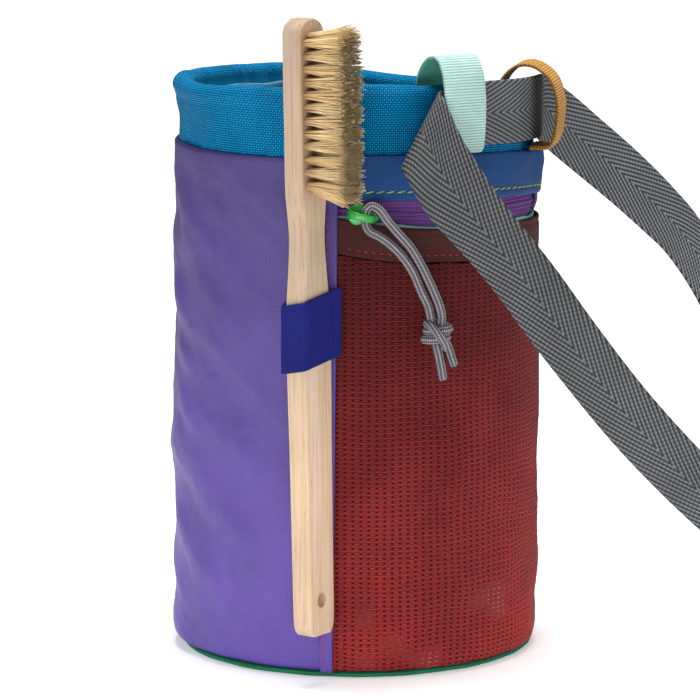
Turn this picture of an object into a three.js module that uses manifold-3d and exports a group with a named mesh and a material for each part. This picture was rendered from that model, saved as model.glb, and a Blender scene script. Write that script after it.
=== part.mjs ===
// Climbing chalk bag: a round cloth bag with a stiff rolled rim, a zipped mesh pocket,
// two webbing loops that carry a waist belt, and a bamboo brush in an elastic loop.
// Millimetres, +Z up. The bag stands on z = 0 with its axis on x = y = 0. Azimuth 0 faces the front,
// which is -Y, and grows towards +X.

import * as THREE from 'three';
import { mergeVertices } from 'three/addons/utils/BufferGeometryUtils.js';
import Module from 'manifold-3d';

const wasm = await Module();
wasm.setup();

// Bag body
const bodyDiameter = 115.6;
const bodyHeight = 162.5;
const clothWall = 1.5;
const clearance = 0.3;
const bodyLift = 1.9;
const foldDepth = 1.3;
const backSeamAzimuth = 100;
const frontSeamTop = -7.4;
const frontSeamBottom = -9.4;

// Collar and lining
const collarRise = 21.9;
const rimHeight = bodyHeight + collarRise;
const collarTuck = 5;
const rimRoll = 5.8;
const rimDiameter = 114.2;
const rimShift = -0.9;
const rollFrom = -20;
const rollTo = 80;
const pleatDepth = 0.9;
const pleatSpread = 3.5;
const liningWall = 1.6;
const liningPlay = 0.6;
const liningDrop = 5.6;
const liningGathers = 8;
const gatherDepth = 1.1;

// Base
const baseWall = 1.6;
const baseInset = 2.2;

// Pocket
const tapeWall = 1;
const coilHeight = 1.5;
const coilWidth = 1.6;
const hemLap = 3;
const edgeShow = 0.5;
const flapWidth = 4;
const flapWall = 1;
const flapGap = 12.5;

// Zip slider and its cord
const sliderLength = 9.6;
const sliderHeight = 6.4;
const sliderPlate = 1.2;
const sliderBevel = 0.3;
const sliderMouth = 60;
const bridgeBar = 1.2;
const bridgeHeight = 2.4;
const sliderAzimuth = 3.4;
const sliderTilt = -12;
const cordDiameter = 2.8;
const cordPlay = 1.2;
const knotWidth = 9.8;
const knotHeight = 10.2;
const knotDepth = 8;
const knotWraps = 3;
const knotWrapDepth = 0.06;

// Brush and its elastic loop
const brushLength = 189.3;
const brushWidth = 13.7;
const brushThickness = 7.2;
const brushBevel = 0.5;
const brushBevelIn = 0.4;
const brushTurn = 37;
const brushLean = 0.95;
const brushX = -14.7;
const brushBottom = 16.1;
const brushHole = 4.4;
const brushHoleRise = 11;
const bristleLength = 14.4;
const tuftRows = 12;
const tuftColumns = 3;
const tuftPitch = 3.885;
const tuftEndPitch = 1.8;
const tuftColumnPitch = 4;
const tuftRoot = 1.25;
const tuftTip = 1.6;
const bristleBacking = 0.8;
const elasticWidth = 21;
const elasticWall = 1;
const elasticPlay = 0.35;
const elasticFootGap = 0.73;
const elasticTabGap = 0.6;
const elasticHeight = 110.1;
const elasticRise = 0.253;
const elasticFootAzimuth = -20.6;
const elasticToeAzimuth = -4.8;
const elasticFootLength = 4.5;
const elasticSwell = 1.006;

// Webbing loops and belt
const loopWidth = 15.4;
const loopWall = 1.2;
const loopFootGap = 0.45;
const loopInset = 1.25;
const mintReach = 4.8;
const mintRise = 28.7;
const mustardReach = 8.4;
const mustardRise = 25.8;
const beltWidth = 19.8;
const beltWall = 1.5;
const beltRise = 12.5;
const beltHeight = bodyHeight + beltRise;
const beltReach = 240;
const beltBite = 0.1;
const beltLeave = 26.5;
const beltEnter = 84;
const beltSag = 1.4;
const shearStart = 0.75;
const creaseShear = 3.8;
const foldRadius = 3.8;
const foldTurn = 135;
const creaseTilt = 30;
const creaseDrop = 3.4;
const creaseSlope = 11;
const creaseSink = 3;
const creaseLead = 4.1;
const buckleLength = 45;
const buckleWidth = 27;
const buckleDepth = 9;
const buckleBevel = 1.5;
const buckleAlong = -0.015;
const buckleOut = 0.925;

// Facets: steps round and up each cloth, and round the small solids
const bodySteps = { round: 38, up: 12 };
const pocketSteps = { round: 18, up: 9, hem: 2, band: 3, tape: 10, back: 12, flap: 3 };
const collarSteps = { round: 48, roll: 4 };
const liningSteps = 40;
const baseSteps = 48;
const handleSteps = { hole: 5, bevel: 2 };
const sliderSteps = 10;
const elasticCornerSteps = 3;
const loopSteps = 26;
const beltSteps = { collar: 14, fold: 6, run: 36 };
const cordSides = 8;
const knotSides = { round: 12, up: 8 };
const tuftSides = 5;
const weldDistance = 0.0001;

// Height of the seam under the collar, in shares of bodyHeight
const bodyTopRows = [
  { azimuth: -135, height: 1.006 },
  { azimuth: -90, height: 1.003 },
  { azimuth: -57, height: 0.9995 },
  { azimuth: -23, height: 0.9975 },
  { azimuth: 8, height: 1.003 },
  { azimuth: 50, height: 0.996 },
  { azimuth: 90, height: 0.985 },
  { azimuth: 135, height: 0.992 },
  { azimuth: 180, height: 1.002 },
];

// Height of the rim, in shares of rimHeight
const rimRows = [
  { azimuth: -160, height: 0.986 },
  { azimuth: -120, height: 0.989 },
  { azimuth: -90, height: 0.992 },
  { azimuth: -57, height: 0.989 },
  { azimuth: -23, height: 0.996 },
  { azimuth: 4, height: 1 },
  { azimuth: 30, height: 0.996 },
  { azimuth: 60, height: 0.984 },
  { azimuth: 95, height: 0.968 },
  { azimuth: 140, height: 0.958 },
  { azimuth: 168, height: 0.966 },
];

// Body radius over its height, in shares of the full radius
const bodyProfile = [
  { height: 0, radius: 0.97 },
  { height: 0.03, radius: 0.997 },
  { height: 0.08, radius: 1.005 },
  { height: 0.25, radius: 1.005 },
  { height: 0.45, radius: 1.006 },
  { height: 0.7, radius: 1.003 },
  { height: 1.02, radius: 1 },
];

// Drape folds: centre, slope in degrees, size in shares of bodyHeight, depth in shares of foldDepth
const foldRows = [
  { azimuth: -55, height: 0.33, slope: -35, length: 0.25, width: 0.04, depth: 0.9 },
  { azimuth: -50, height: 0.24, slope: -38, length: 0.2, width: 0.045, depth: -0.7 },
  { azimuth: -70, height: 0.24, slope: -47, length: 0.16, width: 0.035, depth: 0.8 },
  { azimuth: -61, height: 0.68, slope: -33, length: 0.17, width: 0.045, depth: 0.7 },
  { azimuth: -45, height: 0.56, slope: -50, length: 0.2, width: 0.06, depth: -0.5 },
  { azimuth: -88, height: 0.4, slope: 70, length: 0.22, width: 0.09, depth: 0.9 },
  { azimuth: -82, height: 0.07, slope: 10, length: 0.2, width: 0.06, depth: 0.8 },
  { azimuth: -110, height: 0.4, slope: 40, length: 0.2, width: 0.05, depth: 0.7 },
  { azimuth: -150, height: 0.6, slope: -40, length: 0.25, width: 0.06, depth: 0.6 },
  { azimuth: -175, height: 0.25, slope: 35, length: 0.22, width: 0.05, depth: 0.7 },
  { azimuth: 145, height: 0.5, slope: 50, length: 0.24, width: 0.05, depth: 0.6 },
  { azimuth: 120, height: 0.25, slope: -35, length: 0.18, width: 0.05, depth: 0.6 },
  { azimuth: 22, height: 0.13, slope: 24, length: 0.2, width: 0.035, depth: 0.5 },
  { azimuth: 55, height: 0.2, slope: 28, length: 0.2, width: 0.04, depth: 0.45 },
  { azimuth: 40, height: 0.52, slope: -18, length: 0.22, width: 0.05, depth: -0.35 },
  { azimuth: 84, height: 0.97, slope: 0, length: 0.14, width: 0.09, depth: 1 },
];

// Pocket edges from the front seam to the back, in shares of bodyHeight
const pocketRows = [
  { azimuth: -8, bandBottom: 0.918, zipLine: 0.897, hemTop: 0.887, hemBottom: 0.819 },
  { azimuth: 13, bandBottom: 0.918, zipLine: 0.888, hemTop: 0.867, hemBottom: 0.801 },
  { azimuth: 28, bandBottom: 0.916, zipLine: 0.885, hemTop: 0.861, hemBottom: 0.797 },
  { azimuth: 62, bandBottom: 0.906, zipLine: 0.884, hemTop: 0.857, hemBottom: 0.784 },
  { azimuth: 100, bandBottom: 0.89, zipLine: 0.872, hemTop: 0.851, hemBottom: 0.78 },
];

// Collar wall below the rolled rim: height share of the collar, radius in shares of the rim radius
const collarProfile = [
  { height: 0, radius: 0.98 },
  { height: 0.25, radius: 0.982 },
  { height: 0.5, radius: 0.984 },
  { height: 0.7, radius: 0.989 },
];

// Pleats on the inside of the rim
const pleatAzimuths = [-154, -148, -139, -133, -112, -86, -60, -31, -4, 22, 49, 75, 104, 127, 149, 171];

// Lining: height share, radius share of its tube
const liningProfile = [
  { height: 0, radius: 0.93 },
  { height: 0.04, radius: 0.985 },
  { height: 0.12, radius: 1 },
  { height: 0.5, radius: 1 },
  { height: 0.8, radius: 1 },
  { height: 0.9, radius: 0.975 },
  { height: 1, radius: 0.9 },
];

// Loop of webbing over the rim: reach outwards and rise, in shares of the loop's own reach and rise
const loopRows = [
  { out: -0.06, up: 0 },
  { out: 0.3, up: 0 },
  { out: 0.66, up: 0.01 },
  { out: 0.86, up: 0.1 },
  { out: 0.98, up: 0.3 },
  { out: 1, up: 0.56 },
  { out: 0.72, up: 0.83 },
  { out: 0.1, up: 0.985 },
  { out: -0.45, up: 1 },
  { out: -0.95, up: 0.92 },
  { out: -1.35, up: 0.76 },
  { out: -1.4, up: 0.5 },
];
const loopSides = [
  { name: 'mint_loop', azimuth: 31.5, turn: 3, reach: mintReach, rise: mintRise, color: 0xa9dccd },
  { name: 'mustard_loop', azimuth: 74, turn: 5, reach: mustardReach, rise: mustardRise, color: 0xcf912a },
];

// Belt after its fold: out and along in shares of beltReach from the body, up in shares of beltHeight
const beltFrontRows = [
  { out: -0.098, along: -0.288, up: 0.84 },
  { out: -0.033, along: -0.31, up: 0.733 },
  { out: 0.03, along: -0.327, up: 0.617 },
  { out: 0.113, along: -0.347, up: 0.478 },
  { out: 0.215, along: -0.363, up: 0.338 },
  { out: 0.325, along: -0.372, up: 0.213 },
  { out: 0.44, along: -0.368, up: 0.116 },
  { out: 0.56, along: -0.345, up: 0.064 },
  { out: 0.69, along: -0.295, up: 0.057 },
  { out: 0.83, along: -0.21, up: 0.057 },
];
const beltRearRows = [
  { out: 0.015, along: -0.005, up: 0.973 },
  { out: 0.06, along: 0.03, up: 0.917 },
  { out: 0.12, along: 0.072, up: 0.8435 },
  { out: 0.168, along: 0.105, up: 0.779 },
  { out: 0.2, along: 0.128, up: 0.731 },
  { out: 0.242, along: 0.155, up: 0.643 },
  { out: 0.29, along: 0.18, up: 0.51 },
  { out: 0.34, along: 0.2, up: 0.385 },
  { out: 0.405, along: 0.218, up: 0.26 },
  { out: 0.49, along: 0.233, up: 0.15 },
  { out: 0.59, along: 0.238, up: 0.075 },
  { out: 0.7, along: 0.225, up: 0.057 },
  { out: 0.82, along: 0.175, up: 0.058 },
];

// Lean of the strap along its front and rear runs, in degrees
const leanRows = [
  { share: 0, front: 0, rear: 0 },
  { share: 0.15, front: 2, rear: -8 },
  { share: 0.3, front: 13, rear: -20 },
  { share: 0.45, front: 25, rear: -31 },
  { share: 0.6, front: 38, rear: -34 },
  { share: 0.78, front: 20, rear: -16 },
  { share: 0.92, front: 0, rear: 0 },
  { share: 1, front: 0, rear: 0 },
];

// Brush outline: height share of brushLength, width share of brushWidth
const handleRows = [
  { height: 0, width: 0.56 },
  { height: 0.006, width: 0.72 },
  { height: 0.02, width: 0.84 },
  { height: 0.1, width: 0.87 },
  { height: 0.3, width: 0.92 },
  { height: 0.46, width: 1 },
  { height: 0.53, width: 0.97 },
  { height: 0.59, width: 0.78 },
  { height: 0.645, width: 0.66 },
  { height: 0.685, width: 0.74 },
  { height: 0.72, width: 0.86 },
  { height: 0.8, width: 0.87 },
  { height: 0.972, width: 0.86 },
  { height: 0.981, width: 0.82 },
  { height: 0.99, width: 0.68 },
  { height: 0.996, width: 0.45 },
  { height: 1, width: 0.2 },
];
const bristleStart = 0.7206;

// Zip cord: chosen points from the slider's bridge to the knot, and the two tails
const cordUpperPoints = [
  [2.8, -61.5, 145.1], [3, -61.6, 146.9], [4.5, -62.1, 148.2], [6.8, -62.7, 147.1], [9.2, -63, 143.9],
  [12.2, -62.9, 140.4],
  [16.4, -62.4, 135.5], [19.7, -61.6, 129.8], [22.9, -60.6, 123], [25.1, -59.6, 117.4], [25.8, -59.1, 114.3],
];
const cordLowerPoints = [
  [2.8, -61.5, 144.5], [2.7, -61.6, 142.7], [3.7, -62.2, 140.7], [6.6, -62.8, 139.2], [9.5, -62.9, 137.2],
  [13.3, -62.4, 133.5],
  [16.7, -61.6, 128.6], [19.6, -60.6, 121.9], [21.7, -59.8, 117.3], [22.4, -59.4, 114.3],
];
const tailLeftPoints = [[24.8, -58.6, 102.9], [25.6, -58.8, 99], [26.4, -58.9, 94.2]];
const tailRightPoints = [[28.1, -57.4, 103.6], [28.9, -57.4, 101], [29.8, -57.2, 98.3]];
const knotPlace = new THREE.Vector3(24.4, -58.6, 108.5);

const bodyRadius = bodyDiameter / 2;
const rimRadius = rimDiameter / 2;
const up = new THREE.Vector3(0, 0, 1);
const full = 360;

const radians = (degrees) => (degrees * Math.PI) / (full / 2);
const mix = (a, b, share) => a + (b - a) * share;
const vector = (x, y, z) => new THREE.Vector3(x, y, z);

function around(azimuth, radius, z) {
  return vector(radius * Math.sin(radians(azimuth)), -radius * Math.cos(radians(azimuth)), z);
}

// Catmull-Rom reading of one column of a table between its rows, round the bag where closed
function readRows(rows, key, at, column, closed = false) {
  const count = rows.length;
  const row = (i) => {
    if (!closed) {
      return rows[Math.min(Math.max(i, 0), count - 1)];
    }
    const turn = Math.floor(i / count);
    const base = rows[i - turn * count];
    return { ...base, [key]: base[key] + turn * full };
  };
  let place = at;
  if (closed) {
    while (place < rows[0][key]) place += full;
    while (place >= rows[0][key] + full) place -= full;
  }
  let index = 0;
  while (index < count - (closed ? 1 : 2) && place > row(index + 1)[key]) index += 1;
  const [p0, p1, p2, p3] = [row(index - 1), row(index), row(index + 1), row(index + 2)];
  const t = Math.min(Math.max((place - p1[key]) / (p2[key] - p1[key]), 0), 1);
  const slope = (a, b) => (b[key] === a[key] ? 0 : (b[column] - a[column]) / (b[key] - a[key]));
  const span = p2[key] - p1[key];
  const m1 = slope(p0, p2) * span;
  const m2 = slope(p1, p3) * span;
  const t2 = t * t;
  const t3 = t2 * t;
  return (2 * t3 - 3 * t2 + 1) * p1[column] + (t3 - 2 * t2 + t) * m1
    + (3 * t2 - 2 * t3) * p2[column] + (t3 - t2) * m2;
}

const bodyTop = (azimuth) => bodyHeight * readRows(bodyTopRows, 'azimuth', azimuth, 'height', true);
const rimTop = (azimuth) => rimHeight * readRows(rimRows, 'azimuth', azimuth, 'height', true);
const pocketEdge = (azimuth, column) => bodyHeight * readRows(pocketRows, 'azimuth', azimuth, column);

// Outward push of the drape folds: a ridge along a sloped line that fades out at both ends
function folds(azimuth, z) {
  let push = 0;
  for (const row of foldRows) {
    let away = azimuth - row.azimuth;
    away -= full * Math.round(away / full);
    const across = radians(away) * bodyRadius;
    const rise = z - row.height * bodyHeight;
    const turn = radians(row.slope);
    const u = (across * Math.cos(turn) + rise * Math.sin(turn)) / (row.length * bodyHeight);
    const v = (rise * Math.cos(turn) - across * Math.sin(turn)) / (row.width * bodyHeight);
    if (Math.abs(u) < 1) {
      push += row.depth * foldDepth * (1 - u * u) ** 2 * Math.exp(-v * v);
    }
  }
  return push;
}

function outerRadius(azimuth, z, folded = true) {
  const smooth = bodyRadius * readRows(bodyProfile, 'height', z / bodyHeight, 'radius');
  return folded ? smooth + folds(azimuth, z) : smooth;
}

const seamAzimuth = (z) => mix(frontSeamBottom, frontSeamTop, z / bodyHeight);
const gapAngle = (THREE.MathUtils.RAD2DEG * clearance) / bodyRadius;

// Closed mesh from sections that each hold an outer and an inner line of points. The two lines are joined
// at both their ends, and the sections run on in a ring or stop at a cap.
function wallSolid(sections, ring = false) {
  const count = sections[0].outer.length;
  const positions = [];
  for (const section of sections) {
    for (const p of [...section.outer, ...section.inner]) positions.push(p.x, p.y, p.z);
  }
  const at = (i, k) => (i % sections.length) * 2 * count + k;
  const index = [];
  const quad = (a, b, c, d) => index.push(a, b, c, a, c, d);
  const last = ring ? sections.length : sections.length - 1;
  for (let i = 0; i < last; i += 1) {
    for (let k = 0; k < count - 1; k += 1) {
      quad(at(i, k), at(i + 1, k), at(i + 1, k + 1), at(i, k + 1));
      quad(at(i, count + k), at(i, count + k + 1), at(i + 1, count + k + 1), at(i + 1, count + k));
    }
    quad(at(i, 0), at(i, count), at(i + 1, count), at(i + 1, 0));
    quad(at(i, count - 1), at(i + 1, count - 1), at(i + 1, 2 * count - 1), at(i, 2 * count - 1));
  }
  if (!ring) {
    const end = sections.length - 1;
    for (let k = 0; k < count - 1; k += 1) {
      quad(at(0, k), at(0, k + 1), at(0, count + k + 1), at(0, count + k));
      quad(at(end, k), at(end, count + k), at(end, count + k + 1), at(end, k + 1));
    }
  }
  return outward(positions, index);
}

// Geometry with its faces turned outwards
function outward(positions, index) {
  let volume = 0;
  const corner = (i) => vector(positions[3 * i], positions[3 * i + 1], positions[3 * i + 2]);
  for (let i = 0; i < index.length; i += 3) {
    const [a, b, c] = [corner(index[i]), corner(index[i + 1]), corner(index[i + 2])];
    volume += a.dot(b.cross(c));
  }
  if (volume < 0) {
    for (let i = 0; i < index.length; i += 3) {
      [index[i + 1], index[i + 2]] = [index[i + 2], index[i + 1]];
    }
  }
  const geometry = new THREE.BufferGeometry();
  geometry.setAttribute('position', new THREE.Float32BufferAttribute(positions, 3));
  geometry.setIndex(index);
  geometry.computeVertexNormals();
  return geometry;
}

// Strip of cloth or webbing: centre points with half-width vectors, and its wall
function stripSolid(stations, wall) {
  const sections = stations.map((station, i) => {
    const before = stations[Math.max(i - 1, 0)].centre;
    const after = stations[Math.min(i + 1, stations.length - 1)].centre;
    const along = after.clone().sub(before);
    const normal = along.cross(station.half).normalize().multiplyScalar(wall / 2);
    const low = station.centre.clone().sub(station.half);
    const high = station.centre.clone().add(station.half);
    return {
      outer: [low.clone().add(normal), high.clone().add(normal)],
      inner: [low.sub(normal), high.sub(normal)],
    };
  });
  return wallSolid(sections);
}

// Patch of cloth on the bag: runs round between two azimuth limits and up between two edges,
// sunk below the surface by its offset
function patchSolid({ from, to, steps, bottom, top, rows, offset = 0, wall = clothWall, folded = true, bump }) {
  const sections = [];
  for (let i = 0; i <= steps; i += 1) {
    const outer = [];
    const inner = [];
    for (let k = 0; k <= rows; k += 1) {
      const middle = mix(from(bodyHeight / 2), to(bodyHeight / 2), i / steps);
      const z = mix(bottom(middle), top(middle), k / rows);
      const azimuth = mix(from(z), to(z), i / steps);
      const radius = outerRadius(azimuth, z, folded) - offset;
      outer.push(around(azimuth, radius + (bump ? bump(azimuth, z) : 0), z));
      inner.push(around(azimuth, radius - wall, z));
    }
    sections.push({ outer, inner });
  }
  return wallSolid(sections);
}

function toManifold(geometry) {
  const bare = geometry.clone();
  bare.deleteAttribute('normal');
  bare.deleteAttribute('uv');
  const merged = mergeVertices(bare, weldDistance);
  return new wasm.Manifold(new wasm.Mesh({
    numProp: 3,
    vertProperties: new Float32Array(merged.attributes.position.array),
    triVerts: new Uint32Array(merged.index.array),
  }));
}

function fromManifold(solid) {
  const mesh = solid.getMesh();
  const geometry = new THREE.BufferGeometry();
  geometry.setAttribute('position', new THREE.Float32BufferAttribute(Array.from(mesh.vertProperties), 3));
  geometry.setIndex(Array.from(mesh.triVerts));
  geometry.computeVertexNormals();
  return geometry;
}

const bag = new THREE.Group();

function addMesh(name, geometry, color, roughness = 0.85, metalness = 0) {
  const material = new THREE.MeshStandardMaterial({ color, roughness, metalness });
  const mesh = new THREE.Mesh(geometry, material);
  mesh.name = name;
  bag.add(mesh);
  return mesh;
}

// Cloth of the body and its pocket, in layers that each lie under the one before
const edgeOffset = clothWall + clearance;
const tapeOffset = edgeOffset + tapeWall + clearance;
const pocketOffset = tapeOffset + tapeWall + clearance;
const liningOffset = pocketOffset + tapeWall + liningPlay;
const pocketFrom = (z) => seamAzimuth(z) + gapAngle / 2;
const pocketTo = () => backSeamAzimuth - gapAngle / 2;
const bottomEdge = () => bodyLift;

function makeBody() {
  addMesh('body_panel', patchSolid({
    from: () => backSeamAzimuth + gapAngle / 2 - full,
    to: (z) => seamAzimuth(z) - gapAngle / 2,
    steps: bodySteps.round,
    bottom: bottomEdge,
    top: bodyTop,
    rows: bodySteps.up,
  }), 0x6a55a8, 0.5);
  addMesh('mesh_pocket', patchSolid({
    from: pocketFrom,
    to: pocketTo,
    steps: pocketSteps.round,
    bottom: bottomEdge,
    top: (azimuth) => pocketEdge(azimuth, 'hemBottom') - clearance,
    rows: pocketSteps.up,
  }), 0x8a2a2f);
  addMesh('hem_band', patchSolid({
    from: pocketFrom,
    to: pocketTo,
    steps: pocketSteps.round,
    bottom: (azimuth) => pocketEdge(azimuth, 'hemBottom'),
    top: (azimuth) => pocketEdge(azimuth, 'hemTop'),
    rows: pocketSteps.hem,
  }), 0x4b2320);
  addMesh('pocket_band', patchSolid({
    from: pocketFrom,
    to: pocketTo,
    steps: pocketSteps.round,
    bottom: (azimuth) => pocketEdge(azimuth, 'bandBottom'),
    top: bodyTop,
    rows: pocketSteps.band,
  }), 0x3a659c);
  addMesh('lining_edge', patchSolid({
    from: pocketFrom,
    to: pocketTo,
    steps: pocketSteps.round,
    bottom: (azimuth) => pocketEdge(azimuth, 'hemTop') - hemLap,
    top: (azimuth) => pocketEdge(azimuth, 'hemTop') + edgeShow,
    rows: 1,
    offset: edgeOffset,
    wall: tapeWall,
  }), 0x8fd3c4);
  const coil = (azimuth, z) => {
    const away = Math.abs(z - pocketEdge(azimuth, 'zipLine')) / (coilWidth / 2);
    return away < 1 ? coilHeight * (1 - away * away) : 0;
  };
  addMesh('zip_tape', patchSolid({
    from: pocketFrom,
    to: pocketTo,
    steps: pocketSteps.round,
    bottom: (azimuth) => pocketEdge(azimuth, 'hemTop') - hemLap,
    top: (azimuth) => pocketEdge(azimuth, 'bandBottom') + hemLap,
    rows: pocketSteps.tape,
    offset: tapeOffset,
    wall: tapeWall,
    bump: coil,
  }), 0x6f3593);
  addMesh('pocket_lining', patchSolid({
    from: pocketFrom,
    to: pocketTo,
    steps: pocketSteps.back,
    bottom: bottomEdge,
    top: (azimuth) => bodyTop(azimuth) - hemLap,
    rows: pocketSteps.up,
    offset: pocketOffset,
    wall: tapeWall,
    folded: false,
  }), 0x9fd9cc);
  const flapHalf = (THREE.MathUtils.RAD2DEG * flapWidth) / bodyRadius / 2;
  addMesh('seam_flap', patchSolid({
    from: (z) => seamAzimuth(z) - flapHalf,
    to: (z) => seamAzimuth(z) + flapHalf,
    steps: pocketSteps.flap,
    bottom: bottomEdge,
    top: () => bodyHeight - flapGap,
    rows: pocketSteps.tape,
    offset: -clearance - flapWall,
    wall: flapWall,
  }), 0x5a4898, 0.6);
}

function makeBase() {
  const radius = bodyRadius - baseInset;
  const top = Math.min(bodyLift - clearance, baseWall);
  const edge = top / 2;
  const profile = [
    new THREE.Vector2(0, 0),
    new THREE.Vector2(radius - edge, 0),
    new THREE.Vector2(radius, edge),
    new THREE.Vector2(radius, top),
    new THREE.Vector2(0, top),
  ];
  const geometry = new THREE.LatheGeometry(profile, baseSteps);
  geometry.rotateX(Math.PI / 2);
  addMesh('base_panel', geometry, 0x0b8a57);
}

// Collar wall with a solid roll along its rim. The rim stands a little to the left of the body's axis.
function makeCollar() {
  const steps = collarSteps.round;
  const arcSteps = collarSteps.roll;
  const sections = [];
  for (let i = 0; i < steps; i += 1) {
    const azimuth = (full * i) / steps;
    const low = bodyTop(azimuth) - collarTuck;
    const high = rimTop(azimuth);
    const outer = [];
    const inner = [];
    for (const row of collarProfile) {
      const z = mix(low, high, row.height);
      const free = z > bodyTop(azimuth) + clearance;
      const radius = free ? rimRadius * row.radius : Math.min(rimRadius * row.radius, bodyRadius - clothWall - clearance);
      outer.push(shifted(azimuth, radius, z, row.height));
      inner.push(shifted(azimuth, radius - clothWall, z, row.height));
    }
    const middle = rimRadius - rimRoll / 2;
    const centre = high - rimRoll / 2;
    const pleat = pleats(azimuth);
    for (let k = 0; k <= arcSteps; k += 1) {
      const turn = mix(rollFrom, rollTo, k / arcSteps);
      const reach = rimRoll / 2;
      const radius = middle + reach * Math.cos(radians(turn));
      outer.push(shifted(azimuth, radius, centre + reach * Math.sin(radians(turn)), 1));
      const back = reach - pleat * Math.cos(radians(turn));
      const innerRadius = middle - back * Math.cos(radians(turn));
      inner.push(shifted(azimuth, innerRadius, centre + back * Math.sin(radians(turn)), 1));
    }
    sections.push({ outer, inner });
  }
  addMesh('collar', wallSolid(sections, true), 0x0f7fae, 0.6);
}

// Point round the collar, moved sideways by its share of the rim's shift
function shifted(azimuth, radius, z, share) {
  return around(azimuth, radius, z).add(vector(rimShift * share * share, 0, 0));
}

function pleats(azimuth) {
  let depth = 0;
  for (const centre of pleatAzimuths) {
    let away = azimuth - centre;
    away -= full * Math.round(away / full);
    depth += pleatDepth * Math.exp(-((away / pleatSpread) ** 2));
  }
  return depth;
}

// Lining tube with a closed bottom. Its gathered top edge leans inwards below the rim.
function makeLining() {
  const steps = liningSteps;
  const tube = bodyRadius - liningOffset;
  const floor = bodyLift;
  const sections = [];
  for (let i = 0; i < steps; i += 1) {
    const azimuth = (full * i) / steps;
    const top = rimTop(azimuth) - liningDrop;
    const outer = [vector(0, 0, floor)];
    const inner = [vector(0, 0, floor + liningWall)];
    for (const row of liningProfile) {
      const gather = row.height === 1 ? gatherDepth * Math.sin(radians(azimuth * liningGathers)) : 0;
      const z = mix(floor, top, row.height);
      const radius = Math.min(tube * row.radius, outerRadius(azimuth, z, false) - liningOffset) + gather;
      outer.push(around(azimuth, radius, z));
      inner.push(around(azimuth, radius - liningWall, Math.max(z, floor + liningWall)));
    }
    sections.push({ outer, inner });
  }
  addMesh('lining', cupSolid(sections), 0x34748f);
}

// Closed mesh of a cup: sections as in wallSolid, with the first points of all sections on the axis
function cupSolid(sections) {
  const count = sections[0].outer.length;
  const positions = [];
  const first = sections[0];
  positions.push(...first.outer[0].toArray(), ...first.inner[0].toArray());
  for (const section of sections) {
    for (const p of [...section.outer.slice(1), ...section.inner.slice(1)]) positions.push(p.x, p.y, p.z);
  }
  const row = count - 1;
  const at = (i, k) => 2 + (i % sections.length) * 2 * row + k;
  const index = [];
  for (let i = 0; i < sections.length; i += 1) {
    index.push(0, at(i + 1, 0), at(i, 0));
    index.push(1, at(i, row), at(i + 1, row));
    for (let k = 0; k < row - 1; k += 1) {
      index.push(at(i, k), at(i + 1, k), at(i + 1, k + 1), at(i, k), at(i + 1, k + 1), at(i, k + 1));
      const [a, b] = [at(i, row + k), at(i + 1, row + k)];
      index.push(a, at(i, row + k + 1), at(i + 1, row + k + 1), a, at(i + 1, row + k + 1), b);
    }
    const [a, b] = [at(i, row - 1), at(i + 1, row - 1)];
    index.push(a, b, at(i + 1, 2 * row - 1), a, at(i + 1, 2 * row - 1), at(i, 2 * row - 1));
  }
  return outward(positions, index);
}

// Slider: a drop-shaped plate with a bridge over it, which the cord runs through
function makeSlider() {
  const half = sliderHeight / 2;
  const plate = new THREE.Shape();
  plate.absarc(0, 0, half, radians(sliderMouth), radians(full - sliderMouth), false);
  plate.lineTo(sliderLength - half, -bridgeHeight / 2);
  plate.lineTo(sliderLength - half, bridgeHeight / 2);
  const plateGeometry = new THREE.ExtrudeGeometry(plate, {
    depth: sliderPlate - 2 * sliderBevel,
    bevelEnabled: true,
    bevelSize: sliderBevel,
    bevelThickness: sliderBevel,
    bevelOffset: -sliderBevel,
    bevelSegments: 1,
    curveSegments: sliderSteps,
  });
  plateGeometry.translate(0, 0, sliderBevel);
  const hole = cordDiameter + cordPlay;
  const bridge = new THREE.Shape();
  const left = -bridgeBar;
  const right = sliderLength - half - sliderBevel;
  const high = sliderPlate + hole + bridgeBar;
  bridge.moveTo(left, sliderPlate / 2);
  bridge.lineTo(left + bridgeBar, high - bridgeBar);
  bridge.lineTo(left + 2 * bridgeBar, high);
  bridge.lineTo(right - bridgeBar, high);
  bridge.lineTo(right, high - 2 * bridgeBar);
  bridge.lineTo(right, sliderPlate / 2);
  bridge.lineTo(right - bridgeBar, sliderPlate / 2);
  bridge.lineTo(right - bridgeBar, sliderPlate + hole);
  bridge.lineTo(right - bridgeBar - hole, sliderPlate + hole);
  bridge.lineTo(right - bridgeBar - hole, sliderPlate / 2);
  const bridgeGeometry = new THREE.ExtrudeGeometry(bridge, { depth: bridgeHeight, bevelEnabled: false });
  bridgeGeometry.rotateX(Math.PI / 2);
  bridgeGeometry.translate(0, bridgeHeight / 2, 0);
  const solid = toManifold(plateGeometry).add(toManifold(bridgeGeometry));
  const mesh = addMesh('zip_slider', fromManifold(solid), 0x109c33, 0.35);
  const z = pocketEdge(sliderAzimuth, 'zipLine');
  const seat = bodyRadius * readRows(bodyProfile, 'height', z / bodyHeight, 'radius') + clearance;
  const turned = new THREE.Group();
  turned.rotation.set(Math.PI / 2, 0, 0);
  mesh.rotation.z = radians(sliderTilt);
  turned.add(mesh);
  const place = around(sliderAzimuth, seat + clearance, z);
  turned.position.set(place.x - half, place.y, place.z + clearance);
  bag.add(turned);
}

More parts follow.
